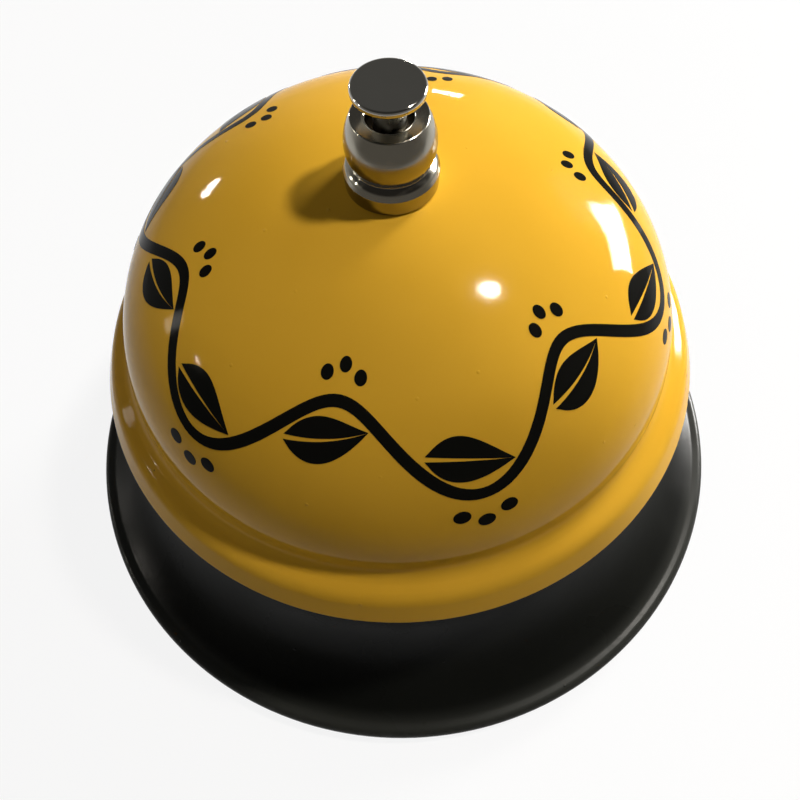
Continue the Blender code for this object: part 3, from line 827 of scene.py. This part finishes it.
def eased_corner(before, corner, after):
    """Arc at a corner of (r, z, fillet), with a hold point on each leg so that flats stay flat."""
    place = Vector(corner[:2])
    back = Vector(before[:2]) - place
    ahead = Vector(after[:2]) - place
    back_way = back.normalized()
    ahead_way = ahead.normalized()
    half = back.angle(ahead) / 2
    reach = min(corner[2] / tan(half), FILLET_SHARE * back.length, FILLET_SHARE * ahead.length)
    radius = reach * tan(half)
    centre = place + (back_way + ahead_way).normalized() * radius / cos(pi / 2 - half)
    first = place + back_way * reach
    last = place + ahead_way * reach
    start = atan2(first.y - centre.y, first.x - centre.x)
    end = atan2(last.y - centre.y, last.x - centre.x)
    sweep = (end - start + pi) % (2 * pi) - pi
    hold_back = first + back_way * min(HOLD, HOLD_SHARE * (back.length - reach))
    hold_ahead = last + ahead_way * min(HOLD, HOLD_SHARE * (ahead.length - reach))
    return [tuple(hold_back)] + arc(centre, radius, start, start + sweep) + [tuple(hold_ahead)]


def rounded(corners, closed=False):
    """Outline through (r, z, fillet) corners, with an arc at each filleted one."""
    count = len(corners)
    points = []
    for index, corner in enumerate(corners):
        at_end = not closed and index in (0, count - 1)
        if corner[2] == 0 or at_end:
            points.append(corner[:2])
        else:
            points += eased_corner(corners[index - 1], corner, corners[(index + 1) % count])
    return points


def thickened(path, sheet):
    """Closed outline of a sheet with eased edges; the path is its outer side, the wall to its right."""
    inner = []
    for index, point in enumerate(path):
        before = path[max(index - 1, 0)]
        after = path[min(index + 1, len(path) - 1)]
        first = (point, after) if index == 0 else (before, point)
        second = (before, point) if index == len(path) - 1 else (point, after)
        normals = []
        for tail, head in (first, second):
            length = hypot(head[0] - tail[0], head[1] - tail[1])
            normals.append(((head[1] - tail[1]) / length, -(head[0] - tail[0]) / length))
        mean_r = normals[0][0] + normals[1][0]
        mean_z = normals[0][1] + normals[1][1]
        scale = 2 * sheet / (mean_r ** 2 + mean_z ** 2)
        inner.append((point[0] + mean_r * scale, point[1] + mean_z * scale))
    outline = path + inner[::-1]
    ends = (0, len(path) - 1, len(path), len(outline) - 1)
    corners = [(r, z, SHEET_EDGE if index in ends else 0) for index, (r, z) in enumerate(outline)]
    return rounded(corners, closed=True)


def ring(inner, outer, bottom, top, edge):
    """Outline of a plain ring with eased edges."""
    corners = [(inner, top), (outer, top), (outer, bottom), (inner, bottom)]
    return rounded([corner + (edge,) for corner in corners], closed=True)


def turn(name, outline, material, segments=SMALL_SEGMENTS):
    """A turned piece; an outline that starts and ends on the axis stays open there."""
    open_ended = outline[0][0] == 0 and outline[-1][0] == 0
    count = len(outline)
    edges = [(index, index + 1) for index in range(count - 1)]
    if not open_ended:
        edges.append((count - 1, 0))
    mesh = bpy.data.meshes.new(name)
    mesh.from_pydata([(r, 0.0, z) for r, z in outline], edges, [])
    values = {"Segments": segments, "Guide Radius": GUIDE_RADIUS, "Material": material}
    return grow(name, TURNED, values, mesh)


def plate(name, outlines, thickness, edge, material):
    """Flat plate with eased edges, centred on its own plane; outlines after the first are holes."""
    curve = bpy.data.curves.new(name, "CURVE")
    curve.dimensions = "2D"
    curve.fill_mode = "BOTH"
    curve.extrude = thickness / 2 - edge
    curve.bevel_depth = edge
    curve.bevel_resolution = EDGE_STEPS
    curve.offset = -edge
    for outline in outlines:
        spline = curve.splines.new("POLY")
        spline.points.add(len(outline) - 1)
        for point, (x, y) in zip(spline.points, outline):
            point.co = (x, y, 0.0, 1.0)
        spline.use_cyclic_u = True
    drawn = add_object(name + "_drawing", curve)
    shape = bmesh.new()
    shape.from_mesh(plain_mesh(drawn))
    bpy.data.objects.remove(drawn)
    bmesh.ops.remove_doubles(shape, verts=shape.verts, dist=WELD)
    bmesh.ops.recalc_face_normals(shape, faces=shape.faces)
    return settle(add_object(name, mesh_from(shape, name, material)))


def cut_away(piece, cutters):
    """Takes helper shapes away from a piece and removes them."""
    for cutter in cutters:
        boolean = piece.modifiers.new(cutter.name, "BOOLEAN")
        boolean.operation = "DIFFERENCE"
        boolean.solver = "EXACT"
        boolean.object = cutter
    settle(piece)
    for cutter in cutters:
        bpy.data.objects.remove(cutter)
    return piece


def block(name, low, high):
    """Helper box between two corners."""
    size = [top - bottom for bottom, top in zip(low, high)]
    middle = [(top + bottom) / 2 for bottom, top in zip(low, high)]
    shape = bmesh.new()
    place = Matrix.Translation(middle) @ Matrix.Diagonal((*size, 1))
    bmesh.ops.create_cube(shape, size=1, matrix=place)
    return add_object(name, mesh_from(shape, name))


def seat(piece, body, slot, *nodes):
    """Hands a finished piece to its body, in place of its nodes."""
    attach(piece, body)
    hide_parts(*nodes)
    return piece


def make_base(black):
    rim_top = base_low.z + RIM_HEIGHT
    path = rounded([
        (THREAD_HOLE, base_high.z, 0),
        (SHOULDER_RADIUS, base_high.z, SHOULDER_FILLET),
        (SKIRT_KNEE_RADIUS, SKIRT_KNEE_HEIGHT, SKIRT_FILLET),
        (base_high.x - BRIM_WIDTH, rim_top + BRIM_RISE, BRIM_FILLET),
        (base_high.x, rim_top, RIM_FILLET),
        (base_high.x, base_low.z, RIM_FILLET),
        (base_high.x - BASE_FLANGE_WIDTH, base_low.z, 0),
    ])
    pan = turn("pressed_base", thickened(path, BASE_SHEET), black, LARGE_SEGMENTS)
    seat(pan, "stand", "black_enamel", "base_pan")


def make_feet(grip):
    for index in range(1, FOOT_COUNT + 1):
        low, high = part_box(f"rubber_foot_{index}")
        radius = (high.x - low.x) / 2
        cup = FOOT_CUP_SHARE * radius
        outline = rounded([
            (0, high.z, 0),
            (radius, high.z, FOOT_EDGE),
            (radius, low.z, FOOT_EDGE),
            (cup, low.z, FOOT_EDGE),
            (cup - FOOT_EDGE, low.z + FOOT_CUP, FOOT_EDGE),
            (0, low.z + FOOT_CUP, 0),
        ])
        foot = turn(f"foot_pad_{index}", outline, grip, TINY_SEGMENTS)
        foot.data.transform(Matrix.Translation(((low.x + high.x) / 2, (low.y + high.y) / 2, 0)))
        seat(foot, "stand", "rubber", f"rubber_foot_{index}")


def make_dome(yellow):
    hole_angle = pi / 2 - asin(THREAD_HOLE / CROWN_RADIUS)
    seam_angle = pi / 2 - seam_tilt
    crown = arc((0, crown_centre), CROWN_RADIUS, hole_angle, seam_angle)
    knuckle = arc((knuckle_reach, knuckle_height), KNUCKLE_RADIUS, seam_angle, WALL_LEAN)
    skirt = rounded([
        knuckle[-1] + (0,),
        (DOME_WALL_RADIUS, flare_top, FLARE_FILLET),
        (dome_high.x - LIP_TAPER, band_top, LIP_FILLET),
        (dome_high.x, dome_low.z, 0),
    ])
    outline = thickened(crown + knuckle[1:] + skirt[1:], DOME_SHEET)
    seat(turn("bell_shell", outline, yellow, LARGE_SEGMENTS), "stand", "yellow_enamel", "bell_dome")


def make_packing(packing):
    washer = ring(THREAD_HOLE, packing_high.x, packing_low.z, packing_high.z, RING_EDGE)
    seat(turn("packing_washer", washer, packing), "stand", "fibre", "dome_washer")


def make_vine(ink):
    vine = grow("printed_vine", vine_tree(), {**VINE_COUNTS, **VINE_SIZES, "Material": ink})
    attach(vine, "stand")


def belly_side():
    """Side of the nut's belly: two arcs that meet upright where it is widest."""
    belly = nut_low.z + NUT_BELLY_HEIGHT
    above = nut_high.z - belly
    below = NUT_BELLY_HEIGHT - NUT_GROOVE_HEIGHT
    inset = NUT_BELLY - NUT_FACE
    bulge = NUT_BELLY - NUT_GROOVE
    upper = (above ** 2 + inset ** 2) / (2 * inset)
    lower = (below ** 2 + bulge ** 2) / (2 * bulge)
    side = arc((NUT_BELLY - upper, belly), upper, asin(above / upper), 0)
    return side + arc((NUT_BELLY - lower, belly), lower, 0, -asin(below / lower))[1:]


def make_nut(bright):
    flange = nut_high.x
    flange_top = nut_low.z + NUT_FLANGE_HEIGHT
    groove = nut_low.z + NUT_GROOVE_HEIGHT
    bead = ((NUT_GROOVE + flange) / 2 + NUT_BEAD_BULGE, (groove + flange_top) / 2 + NUT_BEAD_BULGE)
    foot = flange - NUT_FLANGE_TAPER
    foot_height = crown_centre + sqrt(CROWN_RADIUS ** 2 - foot ** 2) + NUT_SEAT_GAP
    belly = belly_side()
    corners = [(NUT_MOUTH, nut_high.z, NUT_MOUTH_EASE), belly[0] + (NUT_FACE_EASE,)]
    corners += [point + (0,) for point in belly[1:-1]]
    corners += [
        belly[-1] + (NUT_GROOVE_FILLET,),
        bead + (NUT_BEAD_FILLET,),
        (flange, flange_top, NUT_FLANGE_FILLET),
        (foot, foot_height, NUT_EDGE),
        (NUT_BORE, nut_low.z, NUT_EDGE),
        (NUT_BORE, nut_high.z - NUT_LIP_HEIGHT, 0),
        (NUT_MOUTH, nut_high.z - NUT_LIP_HEIGHT, NUT_EDGE),
    ]
    nut = turn("dome_nut", rounded(corners, closed=True), bright)
    seat(nut, "stand", "chrome", "barrel_nut")


def make_button(bright):
    outline = rounded([
        (0, button_high.z, 0),
        (button_high.x, button_high.z, BUTTON_EDGE),
        (button_high.x, button_low.z + BUTTON_CONE, BUTTON_EDGE),
        (ROD_SOCKET + BUTTON_EDGE, button_low.z, BUTTON_EDGE / 2),
        (ROD_SOCKET, button_low.z, 0),
        (ROD_SOCKET, button_high.z - BUTTON_ROOF, 0),
        (0, button_high.z - BUTTON_ROOF, 0),
    ])
    seat(turn("press_button", outline, bright), "plunger", "chrome", "push_button")


def make_rod(satin):
    """Rod with a slimmer neck between button and collar, and a round nose that pushes the lever."""
    rod = rod_high.x
    nose = arc((0, rod_low.z + rod), rod, 0, -pi / 2)
    nose[-1] = (0, rod_low.z)
    shank = rounded([
        (0, rod_high.z, 0),
        (rod, rod_high.z, RING_EDGE),
        (rod, button_low.z - NECK_GAP, 0),
        (NECK_RADIUS, button_low.z - NECK_GAP, RING_EDGE),
        (NECK_RADIUS, collar_high.z + NECK_GAP, RING_EDGE),
        (rod, collar_high.z + NECK_GAP, 0),
        nose[0] + (0,),
    ])
    seat(turn("sliding_rod", shank + nose[1:], satin), "plunger", "chrome", "plunger_rod")


def make_collar(shade_dark):
    # Painted shade: the collar takes a dark steel so that the nut's bore looks dark around it.
    stop = ring(ROD_SOCKET, collar_high.x, collar_low.z, collar_high.z, COLLAR_EDGE)
    seat(turn("stop_collar", stop, shade_dark), "plunger", "zinc_steel", "spring_collar")


def make_spring(wire):
    height = spring_high.z - spring_low.z
    spring = grow("coil_spring", coil_tree(), {
        "Turns": SPRING_TURNS,
        "Steps": SPRING_STEPS,
        "Coil Radius": POST_BORE + SPRING_WIRE,
        "Wire Radius": SPRING_WIRE,
        "Bottom": spring_low.z + SPRING_WIRE,
        "Height": height - 2 * SPRING_WIRE,
        "End Pitch": SPRING_END_PITCH,
        "Material": wire,
    })
    seat(spring, "stand", "spring_steel", "return_spring")
    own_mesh(spring)


def make_post(zinc):
    """Hollow post with a broad foot and a side window for the lever's tail."""
    foot_top = post_foot + POST_FOOT_HEIGHT
    outline = rounded([
        (thread_root, post_high.z, RING_EDGE),
        (thread_root, post_shoulder, 0),
        (POST_RADIUS, post_shoulder, RING_EDGE),
        (POST_RADIUS, foot_top, POST_FILLET),
        (post_high.x, foot_top, POST_FOOT_EDGE),
        (post_high.x, post_foot, RING_EDGE),
        (thread_root, post_foot, 0),
        (thread_root, post_low.z, RING_EDGE),
        (POST_BORE, post_low.z, RING_EDGE),
        (POST_BORE, post_high.z, RING_EDGE),
    ], closed=True)
    post = turn("standard", outline, zinc)
    top = pivot.z + WINDOW_TOP_GAP
    window_low = (0.0, -WINDOW_HALF_WIDTH, top - WINDOW_HEIGHT)
    window_high = (POST_RADIUS + CUT_OVERRUN, WINDOW_HALF_WIDTH, top)
    cut_away(post, [block("standard_window", window_low, window_high)])
    seat(post, "stand", "zinc_steel", "post")


def make_threads(zinc):
    ridge = thread_tree()
    zones = {"foot_thread": (post_low.z, post_foot), "head_thread": (post_shoulder, post_high.z)}
    for name, (low, high) in zones.items():
        height = high - low - THREAD_PITCH
        thread = grow(name, ridge, {
            "Turns": height / THREAD_PITCH,
            "Steps": THREAD_STEPS,
            "Root Radius": thread_root,
            "Ridge": THREAD_DEPTH,
            "Bottom": low + THREAD_PITCH / 2,
            "Height": height,
            "Material": zinc,
        })
        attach(thread, "stand")


def make_lock_washer(zinc):
    """Ring with a split in it."""
    split = asin(LOCK_SPLIT / 2 / lock_high.y)
    split_inner = asin(LOCK_SPLIT / 2 / THREAD_HOLE)
    outline = arc((0, 0), lock_high.y, split, 2 * pi - split)
    outline += arc((0, 0), THREAD_HOLE, 2 * pi - split_inner, split_inner)
    washer = plate("split_washer", [outline], lock_high.z - lock_low.z, RING_EDGE, zinc)
    washer.data.transform(Matrix.Translation((0, 0, (lock_low.z + lock_high.z) / 2)))
    seat(washer, "stand", "zinc_steel", "post_lock_washer")


def make_foot_nut(zinc):
    """Six-sided nut whose faces fall away in a cone towards the corners."""
    flat = hex_high.y
    corner = flat / cos(pi / 6)
    cone = tan(HEX_CHAMFER)
    middle = (hex_low.z + hex_high.z) / 2
    half = (hex_high.z - hex_low.z) / 2
    shape = bmesh.new()
    rows = []
    for step in range(SMALL_SEGMENTS):
        angle = 2 * pi * step / SMALL_SEGMENTS
        off_flat = (angle + pi / 6) % (pi / 3) - pi / 6
        width = min(flat / cos(off_flat), corner - HEX_CORNER_EASE) - THREAD_HOLE
        radii = [THREAD_HOLE + width * share / HEX_RINGS for share in range(HEX_RINGS + 1)]
        falls = [max(0.0, (radius - flat) * cone) for radius in radii]
        column = [(radius, middle + half - fall) for radius, fall in zip(radii, falls)]
        column += [(radius, middle - half + fall) for radius, fall in zip(radii[::-1], falls[::-1])]
        rows.append([shape.verts.new((r * cos(angle), r * sin(angle), z)) for r, z in column])
    for first, second in zip(rows, rows[1:] + rows[:1]):
        for index in range(len(first)):
            ahead = (index + 1) % len(first)
            shape.faces.new((first[index], second[index], second[ahead], first[ahead]))
    bmesh.ops.recalc_face_normals(shape, faces=shape.faces)
    nut = settle(add_object("foot_nut", mesh_from(shape, "foot_nut", zinc)))
    seat(nut, "stand", "zinc_steel", "post_nut")


def make_yoke(zinc):
    """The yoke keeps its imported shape, with its sheared and folded edges eased."""
    shape = bmesh.new()
    shape.from_mesh(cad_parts["lever_yoke"].data)
    bmesh.ops.remove_doubles(shape, verts=shape.verts, dist=WELD)
    bmesh.ops.dissolve_limit(shape, angle_limit=FLAT_ANGLE, verts=shape.verts, edges=shape.edges)
    yoke = add_object("folded_yoke", mesh_from(shape, "folded_yoke", zinc))
    bevel = yoke.modifiers.new("eased", "BEVEL")
    bevel.width = YOKE_EDGE
    bevel.segments = EDGE_STEPS
    bevel.limit_method = "ANGLE"
    bevel.angle_limit = SMOOTH_ANGLE
    seat(settle(yoke), "stand", "zinc_steel", "lever_yoke")


def make_pin(zinc):
    half = (pin_high.y - pin_low.y) / 2
    shank = half - PIN_HEAD_HEIGHT
    head = (pin_high.x - pin_low.x) / 2
    outline = rounded([
        (0, half, 0),
        (head, half, PIN_HEAD_EDGE),
        (head, shank, 0),
        (PIN_RADIUS, shank, 0),
        (PIN_RADIUS, -shank, 0),
        (head, -shank, 0),
        (head, -half, PIN_HEAD_EDGE),
        (0, -half, 0),
    ])
    pin = turn("hinge_pin", outline, zinc, TINY_SEGMENTS)
    pin.data.transform(Matrix.Translation(pivot) @ UPRIGHT)
    seat(pin, "stand", "zinc_steel", "pivot_pin")


def lever_outline():
    """Lever in its own plane: round tail tip, boss at the pivot, straight arm with a round end."""
    tail_spread = asin(LEVER_TAIL_HALF / LEVER_BOSS)
    arm_spread = asin(LEVER_ARM_HALF / LEVER_BOSS)
    tip = (lever_low.x - pivot.x + LEVER_TAIL_HALF, 0)
    outline = arc(tip, LEVER_TAIL_HALF, 3 * pi / 2, pi / 2)
    outline += arc((0, 0), LEVER_BOSS, pi - tail_spread, arm_angle + arm_spread)
    outline += arc((arm.x, arm.z), LEVER_ARM_HALF, arm_angle + pi / 2, arm_angle - pi / 2)
    outline += arc((0, 0), LEVER_BOSS, arm_angle - arm_spread, tail_spread - pi)
    return outline


def make_lever(zinc):
    pin_hole = arc((0, 0), LEVER_PIN_HOLE, 0, 2 * pi)[:-1]
    rivet_hole = arc((arm.x, arm.z), LEVER_RIVET_HOLE, 0, 2 * pi)[:-1]
    outlines = [lever_outline(), pin_hole, rivet_hole]
    lever = plate("striker_lever", outlines, lever_high.y - lever_low.y, LEVER_EDGE, zinc)
    lever.data.transform(Matrix.Translation(pivot) @ UPRIGHT)
    seat(lever, "hammer", "zinc_steel", "hammer_lever")


def make_head(yellow_metal):
    """Striker with a round nose, a slot for the lever and a bore for the rivet."""
    nose = arc((0, 0), HEAD_RADIUS, pi / 2, 0)
    nose[0] = (0, HEAD_RADIUS)
    tail = rounded([nose[-1] + (0,), (HEAD_RADIUS, -HEAD_TAIL, HEAD_EDGE), (0, -HEAD_TAIL, 0)])
    head = turn("striker_head", nose + tail[1:], yellow_metal)
    reach = HEAD_RADIUS + CUT_OVERRUN
    slot_low = (-reach, -HEAD_SLOT_HALF, -HEAD_POCKET)
    slot = block("head_slot", slot_low, (HEAD_POCKET, HEAD_SLOT_HALF, HEAD_POCKET))
    bore_outline = [(0, reach), (LEVER_RIVET_HOLE, reach), (LEVER_RIVET_HOLE, -reach), (0, -reach)]
    bore = turn("head_bore", bore_outline, yellow_metal, TINY_SEGMENTS)
    bore.data.transform(UPRIGHT)
    cut_away(head, [slot, bore])
    head.data.transform(Matrix.Translation(strike) @ Matrix.Rotation(-arm_angle, 4, "Y"))
    seat(head, "hammer", "brass", "hammer_head")


def make_rivet(zinc):
    half = (rivet_high.y - rivet_low.y) / 2
    radius = (rivet_high.x - rivet_low.x) / 2
    ends = [(0, half, 0), (radius, half, RIVET_EDGE), (radius, -half, RIVET_EDGE), (0, -half, 0)]
    rivet = turn("head_rivet", rounded(ends), zinc, TINY_SEGMENTS)
    rivet.data.transform(Matrix.Translation(strike) @ UPRIGHT)
    seat(rivet, "hammer", "zinc_steel", "hammer_rivet")


def set_camera():
    forward = (CAMERA_AIM - CAMERA_PLACE).normalized()
    level = forward.cross(Vector((0, 0, 1))).normalized()
    lift = level.cross(forward)
    right = cos(CAMERA_ROLL) * level + sin(CAMERA_ROLL) * lift
    up = cos(CAMERA_ROLL) * lift - sin(CAMERA_ROLL) * level
    lens = bpy.data.cameras.new("camera")
    lens.lens = CAMERA_LENS
    lens.sensor_width = CAMERA_SENSOR
    lens.clip_start = CAMERA_NEAR
    camera = add_object("camera", lens)
    facing = Matrix((right, up, -forward)).transposed().to_4x4()
    camera.matrix_world = Matrix.Translation(CAMERA_PLACE) @ facing
    bpy.context.scene.camera = camera


def lamp(name, azimuth, elevation, width, height, power, colour, shape):
    """Area light that looks at the bell from that direction; sizes are angles in degrees."""
    side = radians(azimuth)
    rise = radians(elevation)
    towards = Vector((cos(side) * cos(rise), sin(side) * cos(rise), sin(rise)))
    light = bpy.data.lights.new(name, "AREA")
    light.shape = shape
    light.size = 2 * LIGHT_DISTANCE * tan(radians(width) / 2)
    light.size_y = 2 * LIGHT_DISTANCE * tan(radians(height) / 2)
    light.energy = power
    light.color = colour
    item = add_object(name, light)
    item.matrix_world = Matrix.LocRotScale(
        LIGHT_AIM + towards * LIGHT_DISTANCE, (-towards).to_track_quat("-Z", "Y"), None)
    return item


def light_studio():
    """A plain lamp overhead, glints that only gloss shows, and glows that gloss doesn't show."""
    lamp("overhead_lamp", *OVERHEAD_LAMP)
    for name, setting in GLINTS.items():
        lamp(name, *setting).visible_diffuse = False
    for name, setting in GLOWS.items():
        lamp(name, *setting).visible_glossy = False


def seen_directly(tree):
    """One for what is looked at, straight or mirrored; nought for light cast on matt surfaces."""
    rays = node(tree, "ShaderNodeLightPath").outputs
    labels = ("Is Camera Ray", "Is Glossy Ray", "Is Transmission Ray")
    straight, mirrored, through = (Wire(tree, rays[label]) for label in labels)
    return reckon("MAXIMUM", reckon("MAXIMUM", straight, mirrored), through)


def room_tone(direction):
    """Share of the room's back in a direction, and the tone there: pale behind, dim in front."""
    back = graded(parts_of(direction)[1], 0.0, 1.0, start=ROOM_FRONT_END, end=ROOM_BACK_START)
    return back, blended(back, ROOM_FRONT, ROOM_BACK)


def light_world():
    """Room round the bell, dimmer overhead."""
    world = bpy.data.worlds.new("room")
    world.use_nodes = True
    tree = world.node_tree
    ray = shade(tree, "TexCoord", output="Generated")
    overhead = graded(
        parts_of(ray)[2], 1.0, ROOM_OVERHEAD, start=ROOM_WALL_TOP, end=ROOM_OVERHEAD_START)
    inputs = tree.nodes["Background"].inputs
    plug(inputs["Color"], room_tone(ray)[1])
    plug(inputs["Strength"], overhead * graded(seen_directly(tree), ROOM_LIGHT, 1.0))
    bpy.context.scene.world = world


def pale_floor():
    """White near the bell where looked at, fading into the room; it takes the shadow."""
    material, point = finish("pale_floor", (0.75, 0.75, 0.75), roughness=0.6)
    tree = material.node_tree
    from_middle = shade(
        tree, "VectorMath", {0: point, 1: FLOOR_MIDDLE}, output="Value", operation="DISTANCE")
    back, room = room_tone(shade(tree, "VectorMath", {0: point}, operation="NORMALIZE"))
    fade_end = graded(back, FLOOR_FADE_FRONT, FLOOR_FADE_BACK)
    near = graded(from_middle, 1.0, 0.0, start=FLOOR_FADE_START, end=fade_end)
    pale = blended(mottle(point, 30 * MM, detail=3.0), (0.74, 0.74, 0.74), (0.77, 0.77, 0.77))
    seen = seen_directly(tree)
    dress(material, blended(seen, FLOOR_BOUNCE, pale))
    glow = shade(tree, "Emission", {"Color": blended(near, room, (1.0, 1.0, 1.0))})
    matt = Wire(tree, tree.nodes["Principled BSDF"].outputs[0])
    mixed = shade(tree, "MixShader", {0: seen * graded(near, 1.0, FLOOR_GLOW), 1: matt, 2: glow})
    plug(tree.nodes["Material Output"].inputs["Surface"], mixed)
    return material


def lay_floor():
    shape = bmesh.new()
    bmesh.ops.create_circle(shape, cap_ends=True, segments=LARGE_SEGMENTS, radius=FLOOR_RADIUS)
    add_object("floor", mesh_from(shape, "floor", pale_floor()))


def build():
    zinc = zinc_steel()
    make_base(black_enamel())
    make_feet(rubber())
    make_dome(yellow_enamel())
    make_packing(fibre())
    make_vine(black_ink())
    # The nut's chrome is painted a darker tone than the button's: painted shade, dimming its
    # reflections.
    make_nut(chrome("shaded_turned_chrome", (0.3, 0.282, 0.235), haze=0.14, line_depth=0.0025 * MM))
    make_button(chrome("polished_chrome", (0.5, 0.49, 0.45), haze=0.06, line_depth=0.0012 * MM))
    make_rod(chrome("satin_chrome", (0.5, 0.49, 0.45), haze=0.36, line_depth=0.004 * MM))
    # The collar's dark steel is painted shade inside the nut's bore.
    make_collar(painted_shade_steel())
    make_spring(spring_steel())
    make_post(zinc)
    make_threads(zinc)
    make_lock_washer(zinc)
    make_foot_nut(zinc)
    make_yoke(zinc)
    make_pin(zinc)
    make_lever(zinc)
    make_head(brass())
    make_rivet(zinc)


TURNED = turned_tree()
bpy.context.scene.view_settings.view_transform = "Standard"
set_camera()
light_studio()
light_world()
lay_floor()
build()
